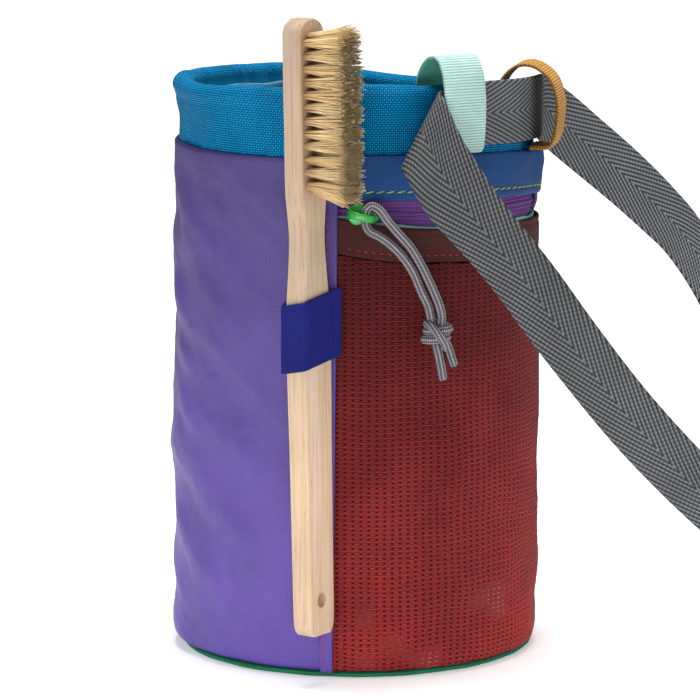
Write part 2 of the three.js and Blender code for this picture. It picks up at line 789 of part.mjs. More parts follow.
// Cord tubes, one along each stretch of chosen points
function tube(points) {
  const section = new THREE.Shape();
  for (let i = 0; i < cordSides; i += 1) {
    const turn = (2 * Math.PI * i) / cordSides;
    const [x, y] = [(Math.cos(turn) * cordDiameter) / 2, (Math.sin(turn) * cordDiameter) / 2];
    if (i === 0) section.moveTo(x, y);
    else section.lineTo(x, y);
  }
  section.closePath();
  const path = new THREE.CatmullRomCurve3(points.map((p) => vector(...p)));
  return new THREE.ExtrudeGeometry(section, {
    steps: Math.max(3, Math.round(path.getLength() / (2 * cordDiameter))),
    bevelEnabled: false,
    extrudePath: path,
  });
}

function makeCord() {
  addMesh('cord_upper', tube(cordUpperPoints), 0x77737a);
  addMesh('cord_lower', tube(cordLowerPoints), 0x77737a);
  addMesh('cord_tail_left', tube(tailLeftPoints), 0x77737a);
  addMesh('cord_tail_right', tube(tailRightPoints), 0x77737a);
  const knot = new THREE.SphereGeometry(1 / 2, knotSides.round, knotSides.up);
  knot.rotateX(Math.PI / 2);
  knot.scale(knotWidth, knotDepth, knotHeight);
  const position = knot.attributes.position;
  for (let i = 0; i < position.count; i += 1) {
    const p = vector(position.getX(i), position.getY(i), position.getZ(i));
    const wrap = 1 + knotWrapDepth * Math.cos((p.z / knotHeight) * knotWraps * Math.PI + p.x / knotWidth);
    position.setXY(i, p.x * wrap, p.y * wrap);
  }
  addMesh('zip_knot', mergeVertices(stripped(knot)), 0x77737a).position.copy(knotPlace);
}

function stripped(geometry) {
  geometry.deleteAttribute('normal');
  geometry.deleteAttribute('uv');
  return geometry;
}

// Brush frame: x across its broad side, y along it, z out of the bristle side
const brushAxis = vector(-Math.sin(radians(brushLean)), 0, Math.cos(radians(brushLean)));
const brushFace = vector(Math.cos(radians(brushTurn)), -Math.sin(radians(brushTurn)), 0);
const brushAcross = brushAxis.clone().cross(brushFace).normalize();
const brushDepth = (brushWidth * brushAcross.y + brushThickness * -brushFace.y) / 2;

function brushCentre(z) {
  const x = brushX - (z - elasticHeight) * Math.tan(radians(brushLean));
  const surface = Math.sqrt((bodyRadius + clearance) ** 2 - (brushX + elasticPlay) ** 2);
  return vector(x, -(surface + elasticPlay + brushDepth), z);
}

function placeOnBrush(geometry) {
  const face = brushAcross.clone().cross(brushAxis);
  const frame = new THREE.Matrix4().makeBasis(brushAcross, brushAxis, face);
  frame.setPosition(brushCentre(brushBottom));
  geometry.applyMatrix4(frame);
  return geometry;
}

// Height of a row of tufts above the first one. The rows at both ends are shorter and stand closer.
function tuftPlace(row) {
  const inner = Math.min(Math.max(row - 1, 0), tuftRows - 1) * tuftPitch;
  return inner + (row > 0 ? tuftEndPitch : 0) + (row > tuftRows ? tuftEndPitch : 0);
}

function makeBrush() {
  const outline = new THREE.Shape();
  const side = (row, sign) => [(sign * row.width * brushWidth) / 2, row.height * brushLength];
  const points = [
    ...handleRows.map((row) => side(row, 1)),
    ...handleRows.map((row) => side(row, -1)).reverse(),
  ];
  points.forEach(([x, y], i) => (i === 0 ? outline.moveTo(x, y) : outline.lineTo(x, y)));
  outline.closePath();
  const hole = new THREE.Path();
  hole.absarc(0, brushHoleRise, brushHole / 2, 0, 2 * Math.PI, true);
  outline.holes.push(hole);
  const handle = new THREE.ExtrudeGeometry(outline, {
    depth: brushThickness - 2 * brushBevel,
    bevelEnabled: true,
    bevelSize: brushBevelIn,
    bevelThickness: brushBevel,
    bevelOffset: -brushBevelIn,
    bevelSegments: handleSteps.bevel,
    curveSegments: handleSteps.hole,
  });
  handle.translate(0, 0, brushBevel - brushThickness / 2);
  addMesh('brush_handle', placeOnBrush(handle), 0xe2c9a4, 0.6);

  const seat = brushThickness / 2 + clearance;
  const width = (tuftColumns - 1) * tuftColumnPitch + 2 * tuftRoot + bristleBacking;
  const height = (tuftRows - 1) * tuftPitch + 2 * tuftEndPitch + 2 * tuftRoot;
  const start = bristleStart * brushLength;
  const backing = new THREE.BoxGeometry(width, height, bristleBacking);
  backing.translate(0, start + height / 2, seat + bristleBacking / 2);
  let solid = toManifold(backing);
  for (let row = 0; row < tuftRows + 2; row += 1) {
    const outermost = row === 0 || row === tuftRows + 1;
    const columns = outermost ? tuftColumns - 1 : tuftColumns;
    for (let column = 0; column < columns; column += 1) {
      const tuft = new THREE.CylinderGeometry(tuftTip, tuftRoot, bristleLength - bristleBacking / 2, tuftSides);
      tuft.rotateX(Math.PI / 2);
      const x = (column - (columns - 1) / 2) * tuftColumnPitch;
      const y = start + tuftRoot + tuftPlace(row);
      tuft.translate(x, y, seat + bristleBacking / 2 + (bristleLength - bristleBacking / 2) / 2);
      solid = solid.add(toManifold(tuft));
    }
  }
  addMesh('brush_bristles', placeOnBrush(fromManifold(solid)), 0xdfbd80, 0.9);
}

// Elastic band round the handle's section: it starts at a foot on the body, turns round three corners
// of the handle and ends in a tab over the seam flap
function makeElastic() {
  const centre = brushCentre(elasticHeight);
  const corner = (across, face) => centre.clone()
    .addScaledVector(vector(brushAcross.x, brushAcross.y, 0), (across * brushWidth) / 2)
    .addScaledVector(brushFace, (face * brushThickness) / 2);
  const corners = [corner(-1, -1), corner(-1, 1), corner(1, 1)];
  const reach = elasticPlay + elasticWall / 2;
  const foot = bodyRadius * elasticSwell + elasticFootGap + elasticWall / 2;
  const heel = around(elasticFootAzimuth, foot, 0);
  const path = [
    around(elasticFootAzimuth + elasticFootLength, foot, 0),
    around(elasticFootAzimuth + elasticFootLength / 2, foot, 0),
    heel,
  ];
  const toeRadius = bodyRadius * elasticSwell + flapWall + elasticTabGap + elasticWall / 2;
  const toe = around(elasticToeAzimuth, toeRadius, 0);
  corners.forEach((place, i) => {
    const before = i === 0 ? heel : corners[i - 1];
    const after = i === 2 ? toe : corners[i + 1];
    const normal = (a, b) => Math.atan2(-(b.x - a.x), b.y - a.y);
    const start = normal(before, place);
    let turn = normal(place, after) - start;
    turn -= 2 * Math.PI * Math.round(turn / (2 * Math.PI));
    for (let k = 0; k <= elasticCornerSteps; k += 1) {
      const angle = start + (turn * k) / elasticCornerSteps;
      path.push(vector(place.x + reach * Math.cos(angle), place.y + reach * Math.sin(angle), 0));
    }
  });
  path.push(toe);
  const stations = path.map((p) => ({
    centre: vector(p.x, p.y, elasticHeight + (p.x - brushX) * elasticRise),
    half: vector(0, 0, elasticWidth / 2),
  }));
  addMesh('elastic_loop', stripSolid(stations, elasticWall), 0x1f2a92);
}

// Webbing loops: from the seam under the belt, out and up round it, over the rim and down inside
function makeLoop({ name, azimuth, turn, reach, rise, color }) {
  const outwards = around(azimuth + turn, 1, 0);
  const across = vector(-outwards.y, outwards.x, 0).multiplyScalar(loopWidth / 2);
  const foot = bodyTop(azimuth) + loopFootGap + loopWall / 2;
  const points = loopRows.map((row) => {
    const out = row.out < 0 ? row.out * rimRoll * loopInset : row.out * reach;
    return around(azimuth, bodyRadius, foot + row.up * rise).addScaledVector(outwards, out);
  });
  const curve = new THREE.CatmullRomCurve3(points, false, 'centripetal');
  const stations = curve.getSpacedPoints(loopSteps).map((centre) => ({ centre, half: across }));
  addMesh(name, stripSolid(stations, loopWall), color);
}

// Belt: round the collar through both loops, folded back at the mint loop, down to the floor in front,
// round on its edge to the buckle, and back up to the mustard loop
const beltRadius = bodyRadius + beltWall / 2 - beltBite;

// Half-width vector of the strap where it stands on its edge, leant back by an angle about its length
function leaning(curve, share, lean) {
  const along = curve.getTangentAt(share);
  const half = up.clone().addScaledVector(along, -up.dot(along)).normalize().multiplyScalar(beltWidth / 2);
  return half.applyAxisAngle(along, radians(lean));
}

function beltPoint(row) {
  return vector(bodyRadius + row.out * beltReach, row.along * beltReach, row.up * beltHeight);
}

// Place of the belt's end on one side of the buckle, and a point that leads into it
const buckleCentre = vector(bodyRadius + buckleOut * beltReach, buckleAlong * beltReach, buckleWidth / 2);

function beltEnd(side) {
  const end = buckleCentre.clone().add(vector(0, side * (buckleLength / 2 + clearance), 0));
  return [end.clone().add(vector(0, (side * beltWidth) / 2, 0)), end];
}

// Keeps a station of the belt on or above the floor
function onFloor(centre, half) {
  const flat = Math.hypot(half.x, half.y) / (beltWidth / 2);
  return { centre: centre.setZ(Math.max(centre.z, half.z + (flat * beltWall) / 2)), half };
}

function makeBelt() {
  const leftwards = around(beltLeave - full / 4, 1, 0);
  const collarStations = [];
  for (let k = 0; k <= beltSteps.collar; k += 1) {
    const share = k / beltSteps.collar;
    const azimuth = mix(beltEnter, beltLeave, share);
    const shear = creaseShear * Math.max((share - shearStart) / (1 - shearStart), 0);
    collarStations.push({
      centre: around(azimuth, beltRadius, beltHeight - beltSag * (1 - share)),
      half: up.clone().multiplyScalar(beltWidth / 2).addScaledVector(leftwards, -shear),
    });
  }
  const leave = collarStations[collarStations.length - 1].centre;
  const tilt = radians(creaseTilt);
  const crease = up.clone().multiplyScalar(Math.cos(tilt)).addScaledVector(leftwards, -Math.sin(tilt));
  const ahead = leftwards.clone().addScaledVector(crease, -leftwards.dot(crease)).normalize();
  const outside = crease.clone().cross(ahead).normalize();
  if (outside.y > 0) outside.negate();
  const drift = -Math.tan(tilt);
  const creaseHalf = crease.clone().multiplyScalar(beltWidth / 2 / Math.cos(tilt + radians(creaseSlope)));
  const foldStart = leave.clone().addScaledVector(leftwards, creaseLead).setZ(leave.z - creaseDrop);
  const foldStations = [];
  const turnTotal = radians(foldTurn);
  for (let k = 0; k <= beltSteps.fold; k += 1) {
    const turn = (turnTotal * k) / beltSteps.fold;
    foldStations.push({
      centre: foldStart.clone()
        .addScaledVector(ahead, foldRadius * Math.sin(turn))
        .addScaledVector(outside, foldRadius * (1 - Math.cos(turn)))
        .addScaledVector(crease, drift * foldRadius * turn),
      half: creaseHalf,
    });
  }
  const foldEnd = foldStations[foldStations.length - 1].centre;
  const away = ahead.clone().multiplyScalar(Math.cos(turnTotal)).addScaledVector(outside, Math.sin(turnTotal));
  away.addScaledVector(crease, drift).normalize();
  const lead = foldEnd.clone().addScaledVector(away, beltWidth / 2).addScaledVector(up, -creaseSink);
  const frontPoints = [foldEnd, lead, ...beltFrontRows.map(beltPoint), ...beltEnd(-1)];
  const front = new THREE.CatmullRomCurve3(frontPoints, false, 'centripetal');
  const frontStations = [];
  for (let k = 1; k <= beltSteps.run; k += 1) {
    const share = k / beltSteps.run;
    const settle = Math.min((share * front.getLength()) / (2 * beltWidth), 1);
    const lean = readRows(leanRows, 'share', share, 'front');
    const half = creaseHalf.clone().lerp(leaning(front, share, lean), settle);
    frontStations.push(onFloor(front.getPointAt(share), half));
  }
  const enter = collarStations[0].centre;
  const back = collarStations[1].centre;
  const rearPoints = [back, enter, ...beltRearRows.map(beltPoint), ...beltEnd(1)];
  const rear = new THREE.CatmullRomCurve3(rearPoints, false, 'centripetal');
  const rearStations = [];
  const skip = enter.distanceTo(back) / rear.getLength();
  for (let k = 1; k <= beltSteps.run; k += 1) {
    const share = mix(skip, 1, k / beltSteps.run);
    const lean = readRows(leanRows, 'share', share, 'rear');
    rearStations.push(onFloor(rear.getPointAt(share), leaning(rear, share, lean)));
  }
  rearStations.reverse();
  const stations = [...rearStations, ...collarStations, ...foldStations, ...frontStations];
  addMesh('belt', stripSolid(stations, beltWall), 0x58585b);
}

// Buckle: one plain body between the belt's two ends, standing on the floor on its long edge
function makeBuckle() {
  const half = { x: buckleLength / 2, y: buckleWidth / 2 };
  const nip = buckleBevel * 2;
  const corners = [[1, -1], [1, 1], [-1, 1], [-1, -1]];
  const outline = new THREE.Shape();
  corners.forEach(([x, y], i) => {
    const first = [x * (half.x - (x === y ? 0 : nip)), y * (half.y - (x === y ? nip : 0))];
    const second = [x * (half.x - (x === y ? nip : 0)), y * (half.y - (x === y ? 0 : nip))];
    if (i === 0) outline.moveTo(...first);
    else outline.lineTo(...first);
    outline.lineTo(...second);
  });
  outline.closePath();
  const geometry = new THREE.ExtrudeGeometry(outline, {
    depth: buckleDepth - 2 * buckleBevel,
    bevelEnabled: true,
    bevelSize: buckleBevel,
    bevelThickness: buckleBevel,
    bevelOffset: -buckleBevel,
    bevelSegments: 2,
  });
  geometry.translate(0, 0, buckleBevel - buckleDepth / 2);
  geometry.rotateX(Math.PI / 2);
  geometry.rotateZ(Math.PI / 2);
  addMesh('belt_buckle', geometry, 0x2b2b2e, 0.5).position.copy(buckleCentre);
}

makeBase();
makeBody();
makeLining();
makeCollar();
makeSlider();
makeCord();
makeBrush();
makeElastic();
loopSides.forEach(makeLoop);
makeBelt();
makeBuckle();

export default bag;
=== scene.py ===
import math

import bmesh
import bpy
import numpy as np
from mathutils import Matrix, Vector


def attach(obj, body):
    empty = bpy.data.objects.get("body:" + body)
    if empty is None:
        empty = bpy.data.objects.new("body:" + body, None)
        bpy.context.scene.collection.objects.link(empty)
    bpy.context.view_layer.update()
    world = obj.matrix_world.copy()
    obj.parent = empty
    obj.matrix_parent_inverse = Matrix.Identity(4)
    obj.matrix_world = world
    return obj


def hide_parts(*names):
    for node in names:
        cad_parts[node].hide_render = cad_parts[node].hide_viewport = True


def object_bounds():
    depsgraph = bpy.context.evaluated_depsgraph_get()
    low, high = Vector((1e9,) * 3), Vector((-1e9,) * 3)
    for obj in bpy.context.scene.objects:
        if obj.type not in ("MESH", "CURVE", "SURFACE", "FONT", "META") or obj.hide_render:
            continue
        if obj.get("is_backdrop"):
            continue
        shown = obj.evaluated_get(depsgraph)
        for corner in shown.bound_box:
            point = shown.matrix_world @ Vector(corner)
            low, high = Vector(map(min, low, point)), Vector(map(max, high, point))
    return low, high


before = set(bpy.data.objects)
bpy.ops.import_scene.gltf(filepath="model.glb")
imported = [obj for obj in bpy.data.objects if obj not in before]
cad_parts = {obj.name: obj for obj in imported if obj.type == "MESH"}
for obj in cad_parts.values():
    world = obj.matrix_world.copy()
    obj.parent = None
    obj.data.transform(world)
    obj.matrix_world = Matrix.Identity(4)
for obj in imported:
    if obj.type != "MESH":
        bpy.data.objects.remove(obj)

# Climbing chalk bag. All shapes are worked out in millimetres and put into metres when a mesh is made.
# Azimuth 0 is the front, -Y, and grows towards +X, as in the CAD.

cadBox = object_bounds()
metresPerMillimetre = 0.001
fullTurn = 360.0


# ---- camera, light and floor

viewSet = {
    "eye": (-2.1, -1255.0, 299.0),
    "target": (-2.1, 0.0, 94.0),
    "lens": 204.1,
    "sensor": 36.0,
    "skyLight": 0.14,
    "sky": "#FFFFFF",
    "floor": "#F7F7F7",
    "floorSize": 12.0,
    "glow": (0.35, 1.0),  # the sweep is overexposed to the camera, more so further out, in m
    "glowReach": (0.1, 0.6),
}

softboxes = [
    {"name": "leftLight", "place": (-950, -330, 200), "size": 800, "watts": 4.2},
    {"name": "rightLight", "place": (950, -280, 200), "size": 800, "watts": 4.4},
    {"name": "keyLight", "place": (-380, -950, 700), "size": 600, "watts": 1.0},
    {"name": "topLight", "place": (0, 60, 1050), "size": 500, "watts": 11.5},
    {"name": "lowLight", "place": (-40, -340, 15), "target": (0, -58, 30), "size": 260, "watts": 0.62},
]


def linear(hexColour):
    # sRGB hex to linear: each channel is divided by 12.92 near black, else ((c + 0.055) / 1.055) ^ 2.4
    values = [int(hexColour[i:i + 2], 16) / 255 for i in (1, 3, 5)]
    return (*[c / 12.92 if c <= 0.04045 else ((c + 0.055) / 1.055) ** 2.4 for c in values], 1.0)


def addNode(tree, kind, inputs=(), **settings):
    # adds one shader node, sets its settings, and links or sets its inputs
    node = tree.nodes.new("ShaderNode" + kind)
    for name, value in settings.items():
        setattr(node, name, value)
    for key, value in dict(inputs).items():
        if isinstance(value, bpy.types.NodeSocket):
            tree.links.new(value, node.inputs[key])
        else:
            node.inputs[key].default_value = value
    return node


def maths(tree, operation, *values):
    return addNode(tree, "Math", enumerate(values), operation=operation).outputs[0]


def remap(tree, value, low, high, first, last):
    return addNode(tree, "MapRange", enumerate((value, low, high, first, last))).outputs[0]


def lookAt(thing, eye, target):
    # turns a light or the camera so that its -Z points from eye to target
    eye, target = Vector(eye) * metresPerMillimetre, Vector(target) * metresPerMillimetre
    thing.location = eye
    thing.rotation_euler = (target - eye).to_track_quat("-Z", "Y").to_euler()
    bpy.context.scene.collection.objects.link(thing)
    return thing


def makeStage():
    camera = bpy.data.cameras.new("camera")
    camera.lens, camera.sensor_width, camera.clip_end = viewSet["lens"], viewSet["sensor"], 30
    bpy.context.scene.camera = lookAt(bpy.data.objects.new("camera", camera), viewSet["eye"], viewSet["target"])
    for box in softboxes:
        lamp = bpy.data.lights.new(box["name"], "AREA")
        lamp.shape, lamp.size, lamp.energy = "DISK", box["size"] * metresPerMillimetre, box["watts"]
        lookAt(bpy.data.objects.new(box["name"], lamp), box["place"], box.get("target", (20, 0, 90)))

    world = bpy.data.worlds.new("studio")
    world.use_nodes = True
    tree = world.node_tree
    tree.nodes.clear()
    sky = linear(viewSet["sky"])
    lit = addNode(tree, "Background", {"Color": sky, "Strength": viewSet["skyLight"]})
    seen = addNode(tree, "Background", {"Color": sky, "Strength": 1.0})
    ray = addNode(tree, "LightPath")
    both = addNode(tree, "MixShader", {0: ray.outputs["Is Camera Ray"], 1: lit.outputs[0], 2: seen.outputs[0]})
    addNode(tree, "OutputWorld", {"Surface": both.outputs[0]})
    bpy.context.scene.world = world
    bpy.context.scene.view_settings.view_transform = "Standard"

    size = viewSet["floorSize"] / 2
    mesh = bpy.data.meshes.new("floor")
    mesh.from_pydata([(-size, -size, 0), (size, -size, 0), (size, size, 0), (-size, size, 0)], [], [(0, 1, 2, 3)])
    floor = bpy.data.objects.new("floor", mesh)
    bpy.context.scene.collection.objects.link(floor)
    paper = bpy.data.materials.new("pale matt paper floor")
    paper.use_nodes = True
    shader = paper.node_tree.nodes["Principled BSDF"]
    shader.inputs["Base Color"].default_value = linear(viewSet["floor"])
    shader.inputs["Roughness"].default_value = 0.9
    shader.inputs["Emission Color"].default_value = sky
    tree = paper.node_tree
    away = addNode(tree, "VectorMath", {0: addNode(tree, "TexCoord").outputs["Object"]}, operation="LENGTH")
    glow = remap(tree, away.outputs["Value"], *viewSet["glowReach"], *viewSet["glow"])
    seen = maths(tree, "MULTIPLY", glow, addNode(tree, "LightPath").outputs["Is Camera Ray"])
    tree.links.new(seen, shader.inputs["Emission Strength"])
    mesh.materials.append(paper)
    floor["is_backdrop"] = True


makeStage()
print("stage: camera, lamps:", len(softboxes), "and floor")


# ---- curves and tables

def mix(a, b, share):
    return a + (b - a) * share


def bump(x, low, high):
    # smooth step: 0 below low, 1 above high, 3t^2 - 2t^3 between
    t = np.clip((x - low) / (high - low), 0, 1)
    return t * t * (3 - 2 * t)


def readCurve(keys, values, at, closed=False):
    # cubic through a table: Hermite spans whose slope at a row is that between its two neighbours
    x, y, at = np.array(keys, float), np.array(values, float), np.asarray(at, float)
    if closed:
        at = (at - x[0]) % fullTurn + x[0]
        x = np.concatenate([x[-2:] - fullTurn, x, x[:2] + fullTurn])
        y = np.concatenate([y[-2:], y, y[:2]])
    slope = np.empty_like(y)
    slope[1:-1] = (y[2:] - y[:-2]) / (x[2:] - x[:-2])
    slope[0], slope[-1] = (y[1] - y[0]) / (x[1] - x[0]), (y[-1] - y[-2]) / (x[-1] - x[-2])
    i = np.clip(np.searchsorted(x, at, side="right") - 1, 0, len(x) - 2)
    span = x[i + 1] - x[i]
    t = np.clip((at - x[i]) / span, 0, 1)
    t2, t3 = t * t, t * t * t
    return ((2 * t3 - 3 * t2 + 1) * y[i] + (t3 - 2 * t2 + t) * slope[i] * span
            + (3 * t2 - 2 * t3) * y[i + 1] + (t3 - t2) * slope[i + 1] * span)


def smoothCurve(points, count, parts=24):
    # centripetal Catmull-Rom through the points, spaced evenly by its length
    p = np.array(points, float)
    p = np.concatenate([[2 * p[0] - p[1]], p, [2 * p[-1] - p[-2]]])
    t = np.concatenate([[0], np.cumsum(np.linalg.norm(np.diff(p, axis=0), axis=1) ** 0.5)])
    spans = np.arange(1, len(p) - 2)
    s = mix(t[spans][:, None], t[spans + 1][:, None], np.linspace(0, 1, parts, endpoint=False)[None])[..., None]
    q = [p[spans + k][:, None] for k in (-1, 0, 1, 2)]
    k = [t[spans + n][:, None, None] for n in (-1, 0, 1, 2)]
    a = [mix(q[n], q[n + 1], (s - k[n]) / (k[n + 1] - k[n])) for n in range(3)]
    b = [mix(a[n], a[n + 1], (s - k[n]) / (k[n + 2] - k[n])) for n in range(2)]
    dense = np.concatenate([mix(b[0], b[1], (s - k[1]) / (k[2] - k[1])).reshape(-1, 3), p[-2:-1]])
    return evenly(dense, count)


def lengthsOf(points):
    return np.concatenate([[0], np.cumsum(np.linalg.norm(np.diff(points, axis=0), axis=1))])


def evenly(points, count):
    # the same line with its points a constant length apart
    run = lengthsOf(points)
    at = np.linspace(0, run[-1], count)
    return np.stack([np.interp(at, run, points[:, k]) for k in range(3)], -1)


def unit(v):
    return v / np.maximum(np.linalg.norm(v, axis=-1, keepdims=True), 1e-9)


def turned(v, axis, degrees):
    # Rodrigues: v cos a + (axis x v) sin a + axis (axis . v)(1 - cos a)
    a = np.radians(np.asarray(degrees, float))[..., None]
    dot = np.sum(axis * v, -1, keepdims=True)
    return v * np.cos(a) + np.cross(axis, v) * np.sin(a) + axis * dot * (1 - np.cos(a))


def softNoise(u, v, cell, seed):
    # smooth random hills between -1 and 1: a seeded lattice read with eased bilinear weights
    lattice = np.random.default_rng(seed).uniform(-1, 1, (61, 61))
    x, y = np.asarray(u, float) / cell, np.asarray(v, float) / cell
    i, j = np.floor(x).astype(int), np.floor(y).astype(int)
    fx, fy = x - i, y - j
    fx, fy = fx * fx * (3 - 2 * fx), fy * fy * (3 - 2 * fy)
    corner = lambda a, b: lattice[(i + a) % 61, (j + b) % 61]
    return mix(mix(corner(0, 0), corner(1, 0), fx), mix(corner(0, 1), corner(1, 1), fx), fy)


# ---- meshes from grids

def gridPart(points, u, v, closedU=False, closedV=False, caps=False):
    # quads between the rows and columns of a grid of points (or of many grids at once), with its UV in mm
    points = np.asarray(points, float)
    if points.ndim == 3:
        points = points[None]
    count, nu, nv = points.shape[:3]
    u = np.broadcast_to(u, (count, nu + closedU, nv + closedV))
    v = np.broadcast_to(v, (count, nu + closedU, nv + closedV))
    i, j = np.meshgrid(np.arange(nu - 1 + closedU), np.arange(nv - 1 + closedV), indexing="ij")
    offset = (np.arange(count) * nu * nv)[:, None, None]
    corners = [(i, j), (i + 1, j), (i + 1, j + 1), (i, j + 1)]
    quads = np.stack([offset + (a % nu) * nv + b % nv for a, b in corners], -1).reshape(-1, 4)
    uv = np.stack([np.stack([u[:, a, b], v[:, a, b]], -1) for a, b in corners], -2).reshape(-1, 4, 2)
    faces, places = quads.tolist(), [uv.reshape(-1, 2)]
    if caps:
        ring = np.arange(nv)
        first = (np.arange(count) * nu * nv)[:, None] + ring[::-1]
        last = (np.arange(count) * nu * nv)[:, None] + (nu - 1) * nv + ring
        faces += first.tolist() + last.tolist()
        places += [np.stack([u[:, 0, ring[::-1]], v[:, 0, ring[::-1]]], -1).reshape(-1, 2),
                   np.stack([u[:, nu - 1, ring], v[:, nu - 1, ring]], -1).reshape(-1, 2)]
    return points.reshape(-1, 3), faces, np.concatenate(places)


def buildPiece(name, parts, finish, body, replaces=(), wall=0.0, closed=True, weld=0.0):
    # joins grid parts into one mesh, gives it its UV, finish and body, and a wall where it is one skin
    vertices, faces, places, start = [], [], [], 0
    for points, quads, uv in parts:
        faces += [[start + k for k in face] for face in quads] if start else quads
        vertices.append(points)
        places.append(uv)
        start += len(points)
    mesh = bpy.data.meshes.new(name)
    mesh.from_pydata((np.concatenate(vertices) * metresPerMillimetre).tolist(), [], faces)
    layer = mesh.uv_layers.new(name="cloth")
    layer.data.foreach_set("uv", np.concatenate(places).astype(np.float32).ravel())
    mesh.polygons.foreach_set("use_smooth", np.ones(len(mesh.polygons), bool))
    if weld or closed:
        work = bmesh.new()
        work.from_mesh(mesh)
        if weld:
            bmesh.ops.remove_doubles(work, verts=work.verts, dist=weld * metresPerMillimetre)
        if closed:
            bmesh.ops.recalc_face_normals(work, faces=work.faces)
        work.to_mesh(mesh)
        work.free()
    mesh.materials.append(finish)
    piece = bpy.data.objects.new(name, mesh)
    bpy.context.scene.collection.objects.link(piece)
    if wall:
        skin = piece.modifiers.new("wall", "SOLIDIFY")
        skin.thickness, skin.offset, skin.use_even_offset = wall * metresPerMillimetre, -1.0, False
    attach(piece, body)
    if replaces:
        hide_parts(*replaces)
    return piece


def tubeParts(lines, radii, sides, outwards, flatten=1.0, turns=0.0):
    # circles carried along many lines at once: centre + r cos a * side + r sin a * rise
    lines = np.asarray(lines, float)
    if lines.ndim == 2:
        lines = lines[None]
    along = unit(np.gradient(lines, axis=1))
    side = unit(np.cross(along, np.broadcast_to(outwards, lines.shape)))
    rise = np.cross(side, along)
    angle = np.linspace(0, 2 * np.pi, sides, endpoint=False) + turns
    radii = np.broadcast_to(radii, lines.shape[:2])[..., None, None]
    ring = (side[:, :, None] * np.cos(angle)[None, None, :, None]
            + rise[:, :, None] * np.sin(angle)[None, None, :, None] * flatten)
    points = lines[:, :, None] + ring * radii
    run = np.concatenate([np.zeros((len(lines), 1)),
                          np.cumsum(np.linalg.norm(np.diff(lines, axis=1), axis=-1), axis=1)], 1)
    u = run[:, :, None] * np.ones(sides + 1)
    v = np.linspace(0, 1, sides + 1)[None, None] * np.ones((1, lines.shape[1], 1))
    return gridPart(points, u, v, closedV=True, caps=True)


def stripParts(centre, half, wall, across=12, edge=0.09, relief=None, backShift=0.0):
    # flat band: section = share across * half + wall / 2 * normal, thinned to a round selvedge at both edges
    along = unit(np.gradient(centre, axis=0))
    normal = unit(np.cross(along, half))
    share = np.sin(np.linspace(-np.pi / 2, np.pi / 2, across))
    share = np.concatenate([share, share[::-1][1:-1]])
    sign = np.concatenate([np.ones(across), -np.ones(across - 2)])
    inside = np.clip((np.abs(share) - (1 - edge)) / edge, 0, 1)
    thick = wall / 2 * np.sqrt(np.maximum(1 - 0.9 * inside ** 2, 0))
    run = lengthsOf(centre)
    width = np.linalg.norm(half, axis=1)
    lift = np.broadcast_to(sign * thick, (len(centre), len(sign)))
    if relief is not None:
        lift = lift + np.sign(lift) * relief(run[:, None], share[None] * width[:, None])
    points = centre[:, None] + share[None, :, None] * half[:, None] + lift[..., None] * normal[:, None]
    u = run[:, None] * np.ones(len(share) + 1)
    v = np.concatenate([share, share[:1]])[None] * width[:, None] + backShift * (np.append(sign, 1.0) > 0)[None]
    return gridPart(points, u, v, closedV=True, caps=True)


# ---- finishes

def blend(tree, share, first, second):
    # mix of two colours, each a hex value or the output of a node
    pair = [linear(colour) if isinstance(colour, str) else colour for colour in (first, second)]
    return addNode(tree, "Mix", {0: share, 6: pair[0], 7: pair[1]}, data_type="RGBA").outputs[2]


def noise(tree, place, scale, detail, rough=0.5):
    inputs = {"Vector": place, "Scale": scale, "Detail": detail, "Roughness": rough}
    return addNode(tree, "TexNoise", inputs).outputs[0]


def mapped(tree, place, **inputs):
    return addNode(tree, "Mapping", {"Vector": place, **inputs}).outputs[0]


def clothPlace(tree):
    return addNode(tree, "UVMap", uv_map="cloth").outputs[0]


def objectPlace(tree):
    return addNode(tree, "TexCoord").outputs["Object"]


def split(tree, place):
    return addNode(tree, "SeparateXYZ", {0: place}).outputs


def newFinish(name):
    finish = bpy.data.materials.new(name)
    finish.use_nodes = True
    return finish, finish.node_tree


def complete(tree, colour, height, strength, relief, **values):
    # links the colour and the relief, which is in mm, and sets the shader's own constants
    names = {"rough": "Roughness", "specular": "Specular IOR Level", "sheen": "Sheen Weight",
             "sheenRough": "Sheen Roughness", "coat": "Coat Weight", "coatRough": "Coat Roughness"}
    shader = tree.nodes["Principled BSDF"]
    raised = addNode(tree, "Bump", {"Height": height, "Strength": strength,
                                    "Distance": relief * metresPerMillimetre})
    tree.links.new(colour, shader.inputs["Base Color"])
    tree.links.new(raised.outputs[0], shader.inputs["Normal"])
    for name, value in values.items():
        shader.inputs[names[name]].default_value = value


